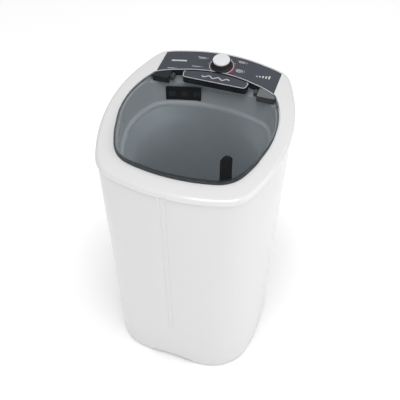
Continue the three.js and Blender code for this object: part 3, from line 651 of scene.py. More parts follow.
SMOOTH_WHITE = {"grain": 0.001, "mottle": 0.003, "wear": 0.03, "smudges": 0.03}
LOOKS = {
    "cabinet_white": plastic("cabinet_white", (0.80, 0.80, 0.805), 0.3, coat=0.3, **SMOOTH_WHITE),
    "cover_white": plastic("cover_white", (0.83, 0.83, 0.835), 0.26, coat=0.9, **SMOOTH_WHITE),
    "tub_plastic": plastic("tub_plastic", (0.74, 0.76, 0.77), 0.34, mottle=0.02),
    "fascia_slate": plastic("fascia_slate", (0.063, 0.069, 0.088), 0.4, grain=0.03, mottle=0.05, wear=0.04),
    "dark_plastic": plastic("dark_plastic", (0.014, 0.014, 0.016), 0.42, 0.05, 650, mottle=0.15),
    "lid_smoke": smoked_sheet("lid_smoke", (0.80, 0.82, 0.832), 0.05),
    "knob_cap_grey": plastic("knob_cap_grey", (0.84, 0.84, 0.86), 0.3, mottle=0.015),
    "scale_red": print_ink("scale_red", (0.42, 0.015, 0.06)),
    "grey_plastic": plastic("grey_plastic", (0.30, 0.31, 0.33), 0.5, grain=0.06, mottle=0.06),
    "agitator_plastic": plastic("agitator_plastic", (0.10, 0.11, 0.13), 0.33, mottle=0.05),
    "black_rubber": rubber("black_rubber", (0.02, 0.02, 0.02)),
    "zinc_steel": metal("zinc_steel", (0.58, 0.59, 0.61), 0.32, (1, 1, 0.05)),
    "motor_enamel": enamel("motor_enamel", (0.17, 0.18, 0.19), 0.45),
    "pulley_metal": metal("pulley_metal", (0.5, 0.51, 0.52), 0.42),
}
SKIRT_SMOKE = smoked_sheet("lid_smoke_skirt", (0.50, 0.51, 0.52), 0.3)
HINGE_GREY = plastic("hinge_grey", (0.155, 0.163, 0.168), 0.5, mottle=0.05)
PALE_INK = print_ink("pale_ink", (0.62, 0.63, 0.66))
FAINT_INK = print_ink("faint_ink", (0.09, 0.09, 0.1))


def finish_piece(piece, body, slot, *nodes, look=None):
    """Shades a piece, gives it its finish, sets it on its body and lets it stand for CAD nodes."""
    mesh = piece.data
    if not len(mesh.materials) or mesh.materials[0] is None:
        mesh.materials.clear()
        mesh.materials.append(look or LOOKS[slot])
    mesh.polygons.foreach_set("use_smooth", [True] * len(mesh.polygons))
    mesh.set_sharp_from_angle(angle=SHARP_ANGLE)
    weighted = piece.modifiers.new("weighted_normals", "WEIGHTED_NORMAL")
    weighted.keep_sharp = True
    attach(piece, body)
    if nodes:
        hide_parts(*nodes)
    return piece


def add_turned(node, body, slot, profile, x=0.0, y=0.0, place=None, **shape):
    """A finished solid of revolution that stands for a CAD node; place moves it where it belongs."""
    piece = turned(f"{node}_fine", profile, x, y, **shape)
    if place:
        move(piece, place)
    finish_piece(piece, body, slot, node)


def print_pale(piece, *nodes, body="cabinet"):
    """Finishes what is printed in pale ink."""
    finish_piece(piece, body, "knob_cap_grey", *nodes, look=PALE_INK)


def dress_node(node, bevel, look=None):
    """Gives a CAD node that stays its finish, and takes the hard edge off it."""
    piece = frame["nodes"][node]
    slots = {entry["node"]: entry["material_slot"] for entry in frame["record"]["subparts"]}
    piece.data.materials.clear()
    piece.data.materials.append(look or LOOKS[slots[node]])
    bevel_edges(piece, bevel, 2, 30, keep=True)


# ---------------------------------------------------------------- cabinet
def cabinet_angles(radius_front):
    """Angles round the cabinet, with close columns across each front groove."""
    fine = np.linspace(-1.6, 1.6, 13) * GROOVE["half_width"]
    across = np.concatenate([fine - GROOVE["x"], fine + GROOVE["x"]])
    close = -math.pi / 2 + np.arcsin(across / radius_front)
    clear = np.abs(ROUND + math.pi / 2) > math.asin(14 / radius_front)
    return np.sort(np.concatenate([ROUND[clear], close]))


def cabinet_ring(t, inset=0.0, grooved=False):
    """The cabinet's outer face at t, from its foot (0) to its upper edge (1)."""
    middle = lerp(base_radius(-math.pi / 2), collar_radius(-math.pi / 2) - COLLAR_OVERHANG, t)
    angles = cabinet_angles(middle)
    outline = lerp(base_radius(angles), collar_radius(angles) - COLLAR_OVERHANG, t)
    y = SPINDLE_Y + outline * np.sin(angles)
    z = lerp(CABINET_BOTTOM, deck_z(y) - COLLAR_SKIRT + WALL, t)
    distance = outline - inset
    if grooved:
        offset = np.abs(outline * np.cos(angles))
        across = np.clip(np.abs(offset - GROOVE["x"]) / GROOVE["half_width"], 0, 1)
        ends = smoothstep(z, GROOVE["bottom"], GROOVE["bottom"] + 12)
        ends = ends * (1 - smoothstep(z, GROOVE["top"], GROOVE["top"] + 12))
        front = np.sin(angles) < -0.9
        distance = distance - front * ends * GROOVE["depth"] * 0.5 * (1 + np.cos(math.pi * across))
    return np.stack([distance * np.cos(angles), SPINDLE_Y + distance * np.sin(angles), z], 1)


def cabinet_wall(name, grooved):
    foot = 0.006
    runs = [(0.012, 0.16, 6), (0.175, 0.2, 4), (0.24, 0.92, 14), (0.94, 0.995, 8)]
    levels = np.concatenate([np.linspace(*run) for run in runs])
    outside = [(cabinet_ring(0, 2.2), 1.2), (cabinet_ring(foot), 3)]
    outside += [cabinet_ring(t, grooved=grooved) for t in levels] + [cabinet_ring(1)]
    inside = [cabinet_ring(1, WALL), cabinet_ring(foot, WALL), (cabinet_ring(0, WALL), 0.5)]
    return loft(name, outside + inside, looped=True)


def rear_block(margin):
    half, bottom, top = (REAR_OPENING[key] for key in ("half_width", "bottom", "top"))
    side, low, high = half - margin, bottom + margin, top - margin
    outline = rounded_rectangle(-side, low, side, high, 9 - margin)
    return slab("rear_block", outline, -320, -150, place=stand_up)


def stand_up(points):
    """Plan points (x, z) with a depth -y become points that stand upright."""
    x, z, depth = np.asarray(points, float).T
    return np.stack([x, -depth, z], 1)


def rear_surface(x, z):
    """How far back the cabinet's outer face reaches at (x, z)."""
    t = (z - CABINET_BOTTOM) / (deck_z(280) - COLLAR_SKIRT + WALL - CABINET_BOTTOM)
    angle = math.pi / 2
    for _ in range(6):
        radius = lerp(base_radius(angle), collar_radius(angle) - COLLAR_OVERHANG, t)
        angle = math.acos(max(-1, min(1, x / radius)))
    return SPINDLE_Y + radius * math.sin(angle)


def on_rear_wall(x, z):
    """A transform that sets what is made along +Z on the rear wall, pointing straight out of it."""
    reach = 6
    yaw = math.atan((rear_surface(x + reach, z) - rear_surface(x - reach, z)) / (2 * reach))
    back = rear_surface(x, z)

    def place(points):
        px, py, pz = points.T
        turned_x = px * math.cos(yaw) - pz * math.sin(yaw)
        turned_y = px * math.sin(yaw) + pz * math.cos(yaw)
        return np.stack([x + turned_x, back + turned_y, z - py], 1)

    return place


def add_cabinet():
    shell = cabinet_wall("cabinet_shell_fine", grooved=True)
    half, top = TOE_NOTCH["half_width"], TOE_NOTCH["top"]
    toe_corners = [(-half - 3, -9), (half + 3, -9), (half, top), (-half, top)]
    toe = slab("toe", rounded_outline(toe_corners, [0, 0, 5, 5]), 240, 330, place=stand_up)
    exits = []
    for spot in (DRAIN_EXIT, CORD_EXIT):
        hole = turned("exit", rod(spot["radius"], -30, 30))
        exits.append(move(hole, on_rear_wall(spot["x"], spot["z"])))
    cut(shell, toe, rear_block(0), *exits)
    finish_piece(shell, "cabinet", "cabinet_white", "cabinet_shell")
    add_rear_cover()


def add_rear_cover():
    cover = common(cabinet_wall("rear_cover_fine", grooved=False), rear_block(0.6))
    half, bottom, top = (REAR_OPENING[key] for key in ("half_width", "bottom", "top"))
    slots = []
    for row in range(9):
        z = bottom + 74 + 16 * row
        for x in (-66, 0, 66):
            outline = rounded_rectangle(x - 26, z, x + 26, z + 5, 2.4, 4)
            slots.append(slab("slot", outline, -320, -150, place=stand_up))
    cut(cover, gather("slots", slots))
    finish_piece(cover, "cabinet", "grey_plastic", "rear_cover")
    edge = 14
    places = [(x, z) for z in (bottom + edge, top - edge) for x in (edge - half, half - edge)]
    head_profile = [(0, 0.4), (4.6, 0.4, 0.3), (4.4, 2.0, 0.9), (2.6, 3.1, 0.6), (0, 3.3)]
    for number, (x, z) in enumerate(places, 1):
        head = turned("head", head_profile, count=40)
        for reach_x, reach_y in ((2.6, 0.5), (0.5, 2.6)):
            cut(head, box("cross", (-reach_x, -reach_y, 1.9), (reach_x, reach_y, 5)))
        head.name = f"rear_cover_screw_{number}_fine"
        move(head, on_rear_wall(x, z))
        finish_piece(head, "cabinet", "zinc_steel", f"rear_cover_screw_{number}")


def add_base():
    low, high = BASE_PAN["bottom"], BASE_PAN["top"]
    pan = [ring(base_radius, low, WALL + 1), ring(base_radius, high, WALL + 1)]
    hole = [ring(circle(90), high), ring(circle(90), low)]
    base = loft("base_pan_fine", [(pan[0], 1), (pan[1], 1), (hole[0], 1), (hole[1], 1)], looped=True)
    finish_piece(base, "cabinet", "grey_plastic", "base_pan")
    tread = [(0, 0), (6, 0, 0.4), (7, 1.2), (8, 0, 0.4), (13, 0, 0.4), (14, 1.2), (15, 0, 0.4), (19.5, 0, 1)]
    profile = tread + [(22, 2.4, 1.2), (20.2, 14, 2), (18.8, low - GAP, 0.8), (0, low - GAP)]
    for place, (x, y) in FOOT_PLACES.items():
        add_turned(f"foot_{place}", "cabinet", "black_rubber", profile, x, y, count=64)


# ---------------------------------------------------------------- top cover
def cover_recess(points):
    """The narrow recess in the middle of the cover's front skirt, above the cabinet's grooves."""
    x, y, z = points.T
    depth = 1.6 * (1 - smoothstep(np.abs(x), 11.5, 15)) * (y < -270)
    low = deck_z(y) - RIM_DROP_FRONT
    return np.stack([x, y + depth * (1 - smoothstep(z, low - 10, low - 1)), z], 1)


def add_top_cover():
    columns = np.sort(np.concatenate([ROUND, -math.pi / 2 + np.linspace(-0.07, 0.07, 40)]))

    def edge_inset(y):
        return -LID_CLEARANCE - (APRON_THICKNESS + 1.6) * smoothstep(y, APRON_START_Y, APRON_END_Y)

    def under(y, *_):
        return deck_z(y) - COLLAR_SKIRT

    def rim_z(y, probe_y, drop=0.0):
        return deck_z(y) - rim_drop(probe_y) - drop

    def upright(radius, height, inset):
        return ring(radius, height, inset, columns)

    def hung(depth, inset):
        return deck_ring(lid_radius, depth, inset, columns)

    def below_seat(y, x):
        return seat_depth(y, x) + WALL

    shoulder = []
    for angle in np.radians(np.linspace(0, 90, 13)):
        drop = SHOULDER_RADIUS * (1 - math.sin(angle))
        inset = SHOULDER_RADIUS * (1 - math.cos(angle))
        shoulder.append(upright(collar_radius, lambda y, probe, *_, drop=drop: rim_z(y, probe, drop), inset))
    rings = [
        upright(collar_radius, under, WALL),
        (upright(collar_radius, under, 0), 1.6),
        *shoulder,
        (hung(lambda y, x: rim_drop(y), edge_inset), 2.2),
        hung(seat_depth, edge_inset),
        (hung(seat_depth, 10), 4),
        (upright(lid_radius, THROAT_FLOOR, 13), 6),
        (upright(lid_radius, THROAT_FLOOR - 4, 24), 2.5),
        upright(lid_radius, THROAT_FLOOR - 8, 24),
        upright(lid_radius, THROAT_FLOOR - 8, 9),
        hung(below_seat, 6),
        hung(below_seat, lambda y: edge_inset(y) - WALL),
        hung(lambda y, x: rim_drop(y) + COVER_SKIN, lambda y: edge_inset(y) - WALL - 1),
        upright(collar_radius, lambda y, probe, *_: rim_z(y, probe, COVER_SKIN), SHOULDER_RADIUS + 2),
        upright(collar_radius, lambda y, probe, *_: rim_z(y, probe, COVER_SKIN + 1), WALL),
    ]
    cover = move(loft("top_cover_fine", rings, looped=True), cover_recess)
    seat = slab("seat", fascia_outline(0.4), -FASCIA_THICKNESS - 0.4, 30)
    hole = turned("hole", rod(7, -60, 30), 0, KNOB_V)
    cut(cover, seat, move(hole, on_deck))
    finish_piece(cover, "cabinet", "cover_white", "top_cover")
    add_cover_ribs()


def add_cover_ribs():
    """Two small upright ribs under the front shoulder, beside the cabinet's grooves."""
    front = SPINDLE_Y - float(collar_radius(-math.pi / 2))
    top = deck_z(front) - float(rim_drop(front)) - SHOULDER_RADIUS + 4
    ribs = []
    for x in (-14, 14):
        ribs.append(box("rib", (x - 2, front - 1.8, top - 14), (x + 2, front + 2.5, top), bevel=1.2))
    finish_piece(gather("cover_front_ribs", ribs), "cabinet", "cover_white")


# ---------------------------------------------------------------- fascia and what is printed on it
def fascia_outline(grow):
    half = FASCIA_HALF_WIDTH + grow
    front = rear_arc(lid_radius, -LID_CLEARANCE, half)
    back = rear_arc(collar_radius, SHOULDER_RADIUS + 1 - grow, half)
    return np.concatenate([front[::-1], back])


def pill(name, x, v, length, height, low, high, turn=0.0):
    """A printed bar with round ends, on the deck."""
    reach = max(length - height, 0.01) / 2
    ends = [(side * reach, side * math.pi / 2) for side in (1, -1)]
    outline = []
    for middle, start in ends:
        for angle in np.linspace(-math.pi / 2, math.pi / 2, 9):
            around = angle + (0 if middle > 0 else math.pi)
            outline.append((middle + height / 2 * math.cos(around), height / 2 * math.sin(around)))
    along, across = np.array(outline).T
    turned_x = x + along * math.cos(turn) - across * math.sin(turn)
    turned_v = v + along * math.sin(turn) + across * math.cos(turn)
    return slab(name, np.stack([turned_x, turned_v], 1), low, high)


def add_fascia():
    plate = slab("control_fascia_fine", fascia_outline(0), -FASCIA_THICKNESS, 0, bevel=0.5)
    cut(plate, move(turned("hole", rod(4.5, -20, 10), 0, KNOB_V), on_deck))
    finish_piece(plate, "cabinet", "fascia_slate", "control_fascia")
    # The fascia's apron hangs below its front edge, behind the lid's back edge. Its near-black colour,
    # darker than the slate fascia, is partly painted shade for the recess behind the lid.
    front = rear_arc(lid_radius, -LID_CLEARANCE, FASCIA_HALF_WIDTH)
    back = rear_arc(lid_radius, -LID_CLEARANCE - APRON_THICKNESS, FASCIA_HALF_WIDTH)
    apron_with_painted_shade = slab("fascia_apron_with_painted_shade", np.concatenate([front, back[::-1]]), -APRON_DEPTH, -FASCIA_THICKNESS - 0.02)
    finish_piece(apron_with_painted_shade, "cabinet", "dark_plastic")
    line = rear_arc(lid_radius, -LID_CLEARANCE - 1.5, FASCIA_HALF_WIDTH - 0.4)
    print_pale(ribbon("fascia_edge_line", line, 2.6, -0.4, 0.35))
    add_fascia_print()
    add_dial()


def mark_group(x, v, widths, turn):
    """A few short bars in rows, in place of a caption."""
    marks = []
    for row, width in enumerate(widths):
        reach = width / 2 + 5
        level = v - 5.2 * row
        marks.append(pill("mark", x, level, width, 2.4, INK_FOOT, 0.14, turn))
        dot = (x + reach * math.cos(turn), level + reach * math.sin(turn))
        marks.append(pill("mark", *dot, 3, 2.4, INK_FOOT, 0.14, turn))
    return marks


# x, up the deck, widths of the rows, lean in degrees
CAPTIONS = [
    (-74, 254, (30, 22), 3),
    (-79, 206, (30,), 6),
    (59, 268, (26, 20), -3),
    (62, 228, (22, 26, 18), -3),
    (-156, 176, (24,), 14),
]


def add_fascia_print():
    """Generic marks only: a level bar, rows of short bars where captions would be, and load steps."""
    print_pale(pill("fascia_level_bar", -143, 218, 52, 6.5, INK_FOOT, 0.2, math.radians(13)))
    marks = []
    for x, v, widths, lean in CAPTIONS:
        marks += mark_group(x, v, widths, math.radians(lean))
    print_pale(gather("fascia_marks", marks))
    upright = math.pi / 2
    steps = []
    for i in range(5):
        steps.append(pill("step", 124 + 10 * i, 214 + 1.1 * i, 5 + 2.6 * i, 5.4, INK_FOOT, 0.18, upright))
    print_pale(gather("fascia_load_steps", steps))


def arc_strip(name, radius, width, start, end, low, high):
    angles = np.radians(np.linspace(start, end, 72))
    path = np.stack([radius * np.cos(angles), KNOB_V + radius * np.sin(angles)], 1)
    return ribbon(name, path, width, low, high)


def dial_room():
    """The part of the fascia that the scale may cover: it ends short of the front edge."""
    reach = KNOB_BASE_RADIUS * 2
    front = rear_arc(lid_radius, -LID_CLEARANCE - 3.2, reach)
    return slab("room", [*front, (-reach, KNOB_V + reach), (reach, KNOB_V + reach)], -1, 5)


def add_dial():
    inner = KNOB_BASE_RADIUS + 2.5
    profile = [(inner, 0.02), (inner, 0.9, 0.25), (inner + 2, 0.9, 0.25), (inner + 2, 0.02)]
    dial = move(turned("dial_ring_fine", profile, 0, KNOB_V, closed=True, count=160), on_deck)
    common(dial, dial_room())
    print_pale(dial, "dial_ring")
    arc = common(arc_strip("dial_arc_fine", inner + 5.15, 4.5, *DIAL_ARC, INK_FOOT, 0.6), dial_room())
    finish_piece(arc, "cabinet", "scale_red", "dial_arc")
    line = common(arc_strip("dial_line", inner + 4.4, 2.6, -13, 22, INK_FOOT, 0.3), dial_room())
    finish_piece(line, "cabinet", "scale_red")
    ticks = []
    middle = inner + 6
    for angle in np.radians(np.arange(0, 241, 30)):
        x, v = middle * math.cos(angle), KNOB_V + middle * math.sin(angle)
        ticks.append(pill("tick", x, v, 4.5, 1.2, INK_FOOT, 0.15, angle))
    print_pale(gather("dial_ticks", ticks))


def add_knob():
    bore = [(0, 17.6), (3.4, 17.6), (3.4, 1.2)]
    foot = [(KNOB_BASE_RADIUS - 1, 1.2, 0.5), (KNOB_BASE_RADIUS, 3.4, 1.2), (33.5, 6.4, 2)]
    neck = [(KNOB_TOP_RADIUS + 1.2, KNOB_HEIGHT - 3), (KNOB_TOP_RADIUS, KNOB_HEIGHT, 1.2), (0, KNOB_HEIGHT)]
    profile = bore + foot + neck
    flutes = (36, 0.9, 6.5, KNOB_HEIGHT - 0.5)
    add_turned("knob_skirt", "programme_knob", "dark_plastic", densify(profile, 2.2), 0, KNOB_V, on_deck,
               count=288, flutes=flutes)
    base = KNOB_HEIGHT + GAP
    edge = KNOB_CAP_RADIUS
    cap_profile = [(0, base), (edge, base, 0.4), (edge, base + 4.4, 1.6), (edge - 2.4, base + 6.3, 1.4),
                   (edge - 4.5, base + 6.0, 0.6), (12, base + 6.6, 6), (0, base + 6.7)]
    add_turned("knob_cap", "programme_knob", "knob_cap_grey", cap_profile, 0, KNOB_V, on_deck, count=128)
    pointer = pill("knob_pointer", 0, KNOB_V + 17, 8, 1.4, base + 6.0, base + 6.7, math.pi / 2)
    finish_piece(pointer, "programme_knob", "knob_cap_grey")


def densify(profile, step):
    """Adds points along the straight runs of a profile, so that flutes can shape them."""
    dense = []
    for start, end in zip(profile, profile[1:]):
        dense.append(start)
        length = math.dist(start[:2], end[:2])
        count = int(length // step) if min(start[0], end[0]) > KNOB_TOP_RADIUS - 2 else 0
        for k in range(1, count):
            dense.append((lerp(start[0], end[0], k / count), lerp(start[1], end[1], k / count)))
    return dense + [profile[-1]]


# ---------------------------------------------------------------- lid and hinge
def lid_ring(inset, depth):
    height = (lambda y, probe, *_: -depth(probe)) if callable(depth) else -depth
    x, y, w = ring(lid_radius, height, inset).T
    return on_deck(np.stack([x, y / math.cos(DECK_TILT), w], 1))


def add_lid():
    def flare(y):
        return LID_FLARE * (skirt_depth(y) - LID_SKIRT_MIN) / (RIM_DROP_FRONT - LID_SKIRT_MIN)

    panel = loft("lid_panel_fine", [
        (lid_ring(7, LID_THICKNESS), 2),
        lid_ring(4, LID_THICKNESS + 1),
        (lid_ring(lambda y: 3 - flare(y), skirt_depth), 0.8),
        (lid_ring(lambda y: -flare(y), skirt_depth), 0.8),
        (lid_ring(0, 2.5), 1.4),
        (lid_ring(2.5, 0), 1.6),
    ])
    notches = []
    for side in (-1, 1):
        inner, outer = sorted((side * (BRACKET_X - 1), side * (BRACKET_END_X + 1.5)))
        notches.append(box("notch", (inner, BRACKET_V - 1.5, -30), (outer, 230, 10), on_deck))
    cut(panel, *notches)
    panel.data.materials.clear()
    panel.data.materials.append(LOOKS["lid_smoke"])
    panel.data.materials.append(SKIRT_SMOKE)
    for face in panel.data.polygons:
        height = face.center.z / MM - deck_z(face.center.y / MM)
        face.material_index = 1 if height < -LID_THICKNESS - 0.8 or abs(face.normal.z) < 0.5 else 0
    finish_piece(panel, "lid", "lid_smoke", "lid_panel")
    add_badge()


def badge_outline(rear_inset, shrink=0.0):
    front, back = BADGE["front_half"] - shrink, BADGE["back_half"] - shrink
    front_v = BADGE["front_v"] + shrink
    arc = rear_arc(lid_radius, rear_inset + shrink, back)[::10]
    corners = [(-front, front_v), (front, front_v), *arc]
    size = BADGE["corner"] - shrink * 0.6
    return rounded_outline(corners, [size, size, size * 0.7] + [3] * (len(arc) - 2) + [size * 0.7])


def add_badge():
    block = slab("lid_badge_block_fine", badge_outline(8), -BADGE["depth"], -LID_THICKNESS - GAP, bevel=1.2)
    finish_piece(block, "lid", "dark_plastic", "lid_badge_block")
    plate = slab("lid_badge_plate_fine", badge_outline(4), GAP, BADGE["thickness"], bevel=0.5)
    finish_piece(plate, "lid", "fascia_slate", "lid_badge_plate")
    top = BADGE["thickness"]
    outline = badge_outline(3, 2.4)
    corner = ROUNDING_STEPS + 1
    around_front = np.concatenate([outline[-corner:], outline[:3 * corner]])
    print_pale(ribbon("badge_edge_line", around_front, 2.2, top - 0.2, top + 0.3), body="lid")
    across = np.linspace(-46, 46, 120)
    wave = np.stack([across, 168 + 4.2 * np.sin(across / 46 * 3 * math.pi)], 1)
    print_pale(ribbon("badge_wave", wave, 3.6, top - 0.2, top + 0.2), body="lid")


def add_hinges():
    """The left bracket is dark; the right one and the lugs have the grey of the lid and what it covers."""
    for side in ("left", "right"):
        dress_node(f"lid_lug_{side}", 0.8, look=HINGE_GREY)
    dress_node("hinge_bracket_left", 0.8)
    dress_node("hinge_bracket_right", 0.8, look=HINGE_GREY)


# ---------------------------------------------------------------- wash tub, label and filter
def add_tub():
    def wall(radius, inset, share):
        return lambda angles: lerp(radius, lid_radius(angles) - inset, share)

    def inside(inset):
        return [
            ring(circle(80 - inset), TANK_FLOOR - inset),
            (ring(circle(150 - inset), TANK_FLOOR + 4 - inset), 12),
            (ring(circle(170), TANK_FLOOR + 14 - inset, -inset), 14),
            (ring(circle(TANK_RADIUS_BOTTOM), TANK_FLOOR + 40, -inset), 20),
            ring(circle(TANK_RADIUS_TOP - 4), 560, -inset),
            (ring(circle(TANK_RADIUS_TOP), 720, -inset), 24),
            (ring(wall(TANK_RADIUS_TOP, 26, 0.25), 780, -inset), 16),
            (ring(wall(TANK_RADIUS_TOP, 26, 0.75), 820 - inset * 0.5, -inset), 12),
            (ring(wall(TANK_RADIUS_TOP, 26, 1), 838 - inset, -inset), 3),
        ]

    rim_z = THROAT_FLOOR - 8 - GAP
    rim = [
        ring(lid_radius, rim_z, 26),
        (ring(lid_radius, rim_z, 12), 0.8),
        (ring(lid_radius, rim_z - WALL, 12), 0.8),
    ]
    tub = loft("wash_tub_fine", inside(0) + rim + inside(WALL)[::-1], steps=5)
    for radius, x, y in ((19, 0, SPINDLE_Y), (DRAIN_HOLE["radius"], DRAIN_HOLE["x"], DRAIN_HOLE["y"])):
        cut(tub, turned("hole", rod(radius, 340, 400), x, y))
    finish_piece(tub, "cabinet", "tub_plastic", "wash_tub")


def throat_wall(x, z, offset):
    """A point on the throat's rear wall, offset inwards."""
    inset = lerp(13, 10, (z - THROAT_FLOOR) / (940 - THROAT_FLOOR)) + offset
    distance = lid_radius(REAR) - inset
    y = np.interp(x, distance * np.cos(REAR), SPINDLE_Y + distance * np.sin(REAR))
    return np.stack([x, y, np.full(len(np.atleast_1d(x)), float(z))], 1)


def throat_patch(name, left, right, bottom, top, near, far):
    """A thin curved sheet that lies on the throat's rear wall."""
    across = np.linspace(left, right, 24)
    sections = [throat_wall(across, bottom, near), throat_wall(across, bottom, far),
                throat_wall(across, top, far), throat_wall(across, top, near)]
    return loft(name, list(np.stack(sections, 1)))


# The squares on the label, each from four bars and a dot: left, right, bottom, top.
LABEL_MARKS = [(-9, 9, 30, 32), (-9, 9, 14, 16), (-9, -7, 16, 30), (7, 9, 16, 30), (-4, 4, 20, 26)]


def add_label():
    (left, _, low), (right, _, high) = (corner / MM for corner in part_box("instruction_label"))
    label = throat_patch("instruction_label_fine", left, right, low, high, GAP, GAP + 0.8)
    finish_piece(label, "cabinet", "dark_plastic", "instruction_label")
    marks = []
    for column in range(3):
        x = left + 20 + 40 * column
        for x0, x1, z0, z1 in LABEL_MARKS:
            marks.append(throat_patch("mark", x + x0, x + x1, low + z0, low + z1, GAP + 0.7, GAP + 0.95))
    finish_piece(gather("label_marks", marks), "cabinet", "grey_plastic", look=FAINT_INK)


def beside_spindle(points):
    """The filter's own frame, with local Y pointing away from the spindle, to the machine's."""
    x, y, z = np.asarray(points, float).T
    turn = math.radians(FILTER["angle"] - 90)
    sin, cos = math.sin(turn), math.cos(turn)
    return np.stack([x * cos - y * sin, SPINDLE_Y + x * sin + y * cos, z], 1)


def filter_upright(points):
    """Plan points (x, z) with a depth along local Y, in the filter's frame."""
    x, z, depth = np.asarray(points, float).T
    return beside_spindle(np.stack([x, depth, z], 1))


def add_filter():
    half, middle, bottom, top = FILTER["width"] / 2, FILTER["distance"], FILTER["bottom"], FILTER["top"]
    thick = FILTER["thickness"] / 2
    corners = [(-half, bottom), (half, bottom), (half, top - 9), (5, top), (-5, top), (-half, top - 9)]
    outline = rounded_outline(corners, [2, 2, 3, 3, 3, 3])
    upright = slab("filter_frame_fine", outline, middle - thick, middle + thick, filter_upright)
    low, high, count = (FILTER_WINDOWS[key] for key in ("bottom", "top", "count"))
    step = (high - low) / count
    half_bar = 1.5
    windows = []
    for k in range(count):
        z0 = low + step * k + (half_bar if k else 0)
        z1 = low + step * (k + 1) - (half_bar if k < count - 1 else 0)
        opening = rounded_rectangle(-half + 6, z0, half - 6, z1, 2, 4)
        windows.append(slab("window", opening, middle - 20, middle + 20, filter_upright))
    cut(upright, gather("windows", windows))
    bevel_edges(upright, 0.9)
    finish_piece(upright, "lint_filter", "dark_plastic", "filter_frame")
    wires = []
    pitch = 3.2
    width = 2 * half - 12
    half_wire = 0.3
    for x in np.arange(-width / 2 + pitch / 2, width / 2, pitch):
        ends = (x - half_wire, middle - 0.5, low), (x + half_wire, middle + 0.1, high)
        wires.append(box("wire", *ends, beside_spindle))
    for z in np.arange(low + pitch / 2, high, pitch):
        ends = (-width / 2, middle, z - half_wire), (width / 2, middle + 0.6, z + half_wire)
        wires.append(box("wire", *ends, beside_spindle))
    finish_piece(gather("filter_mesh_fine", wires), "lint_filter", "grey_plastic", "filter_mesh")
    dress_node("filter_socket", 0.8)


# ---------------------------------------------------------------- agitator and drive
def add_agitator():
    """A moulded hub and foot whose four fins grow out of them with soft roots."""
    foot = TANK_FLOOR + 12
    crown = 575
    inner = SHAFT_RADIUS + GAP
    hub = [(inner, crown), (33, crown), (34.5, 572), (37, 540), (40, 500), (45, 470),
           (52, foot + 48), (62, foot + 32), (80, foot + 22), (110, foot + 15),
           (138, foot + 10), (142, foot + 7), (143, foot + 4), (140, foot)]
    fin = [(inner, crown), (33, crown), (36, 572), (44, 560), (52, 540), (60, 505),
           (68, foot + 72), (80, foot + 60), (100, foot + 52), (118, foot + 45),
           (128, foot + 34), (135, foot + 18), (141, foot + 5), (140, foot)]
    hub_line, fin_line = (smooth_path([(r, 0, z) for r, z in line], 72) for line in (hub, fin))
    angles = np.linspace(0, math.tau, 384, endpoint=False)
    from_fin = np.abs((angles + math.pi / 4) % (math.pi / 2) - math.pi / 4)
    rings = []
    for hub_point, fin_point in zip(hub_line, fin_line):
        lateral = np.sin(from_fin) * fin_point[0]
        share = 1 - smoothstep(lateral, 3.5, 13)
        radius = lerp(hub_point[0], fin_point[0], share)
        rings.append(np.stack([radius * np.cos(angles), SPINDLE_Y + radius * np.sin(angles),
                               lerp(hub_point[2], fin_point[2], share)], 1))
    bore = [ring(circle(inner), z, 0, angles) for z in (foot, 450)]
    agitator = loft("agitator_fine", [*rings, *bore], looped=True)
    finish_piece(agitator, "agitator", "agitator_plastic", "agitator")
    seam = crown + GAP
    cap_profile = [(0, seam), (33, seam, 0.8), (32.4, 581, 2), (29, 590, 5), (16, 597, 6), (0, 599.5)]
    add_turned("agitator_cap", "agitator", "knob_cap_grey", cap_profile, 0, SPINDLE_Y,
               flutes=(12, 1.2, 577, 593))


def pulley(name, pitch_radius, bore, y):
    low, high = PULLEY_Z, PULLEY_Z + PULLEY_HEIGHT
    rim, groove = pitch_radius + 5, pitch_radius - 5.5
    profile = [(bore, low, 0.6), (rim, low, 0.8), (rim, low + 4, 0.6), (groove, low + 5.5, 0.6),
               (groove, high - 5.5, 0.6), (rim, high - 4, 0.6), (rim, high, 0.8), (bore, high, 0.6)]
    return turned(name, profile, 0, y, closed=True, count=144)


def add_drive():
    add_turned("agitator_shaft", "agitator", "zinc_steel", rod(SHAFT_RADIUS, 258, 448, 1), 0, SPINDLE_Y)
    wheel = pulley("drive_pulley_fine", DRIVE_PULLEY_RADIUS, SHAFT_RADIUS + GAP, SPINDLE_Y)
    holes = []
    for k in range(6):
        a = k * math.pi / 3
        x, y = 66 * math.cos(a), SPINDLE_Y + 66 * math.sin(a)
        holes.append(turned("hole", rod(21, 260, 310), x, y, count=48))
    cut(wheel, gather("holes", holes))
    bevel_edges(wheel, 0.5, 2)
    finish_piece(wheel, "agitator", "pulley_metal", "drive_pulley")
    seal = [(9.5, 368, 0.5), (18.5, 368, 0.5), (18.5, 378, 1.2), (13, 376.5, 1), (9.5, 378, 0.4)]
    add_turned("shaft_seal", "cabinet", "black_rubber", seal, 0, SPINDLE_Y, closed=True)
    housing = [(9.5, 310, 0.5), (26, 310, 1.5), (30, 340, 4), (60, 352, 3), (60, 360, 1), (9.5, 360, 0.5)]
    add_turned("bearing_housing", "cabinet", "motor_enamel", housing, 0, SPINDLE_Y, closed=True)
    dress_node("pulley_nut", 0.8)
    dress_node("drive_belt", 0.6)


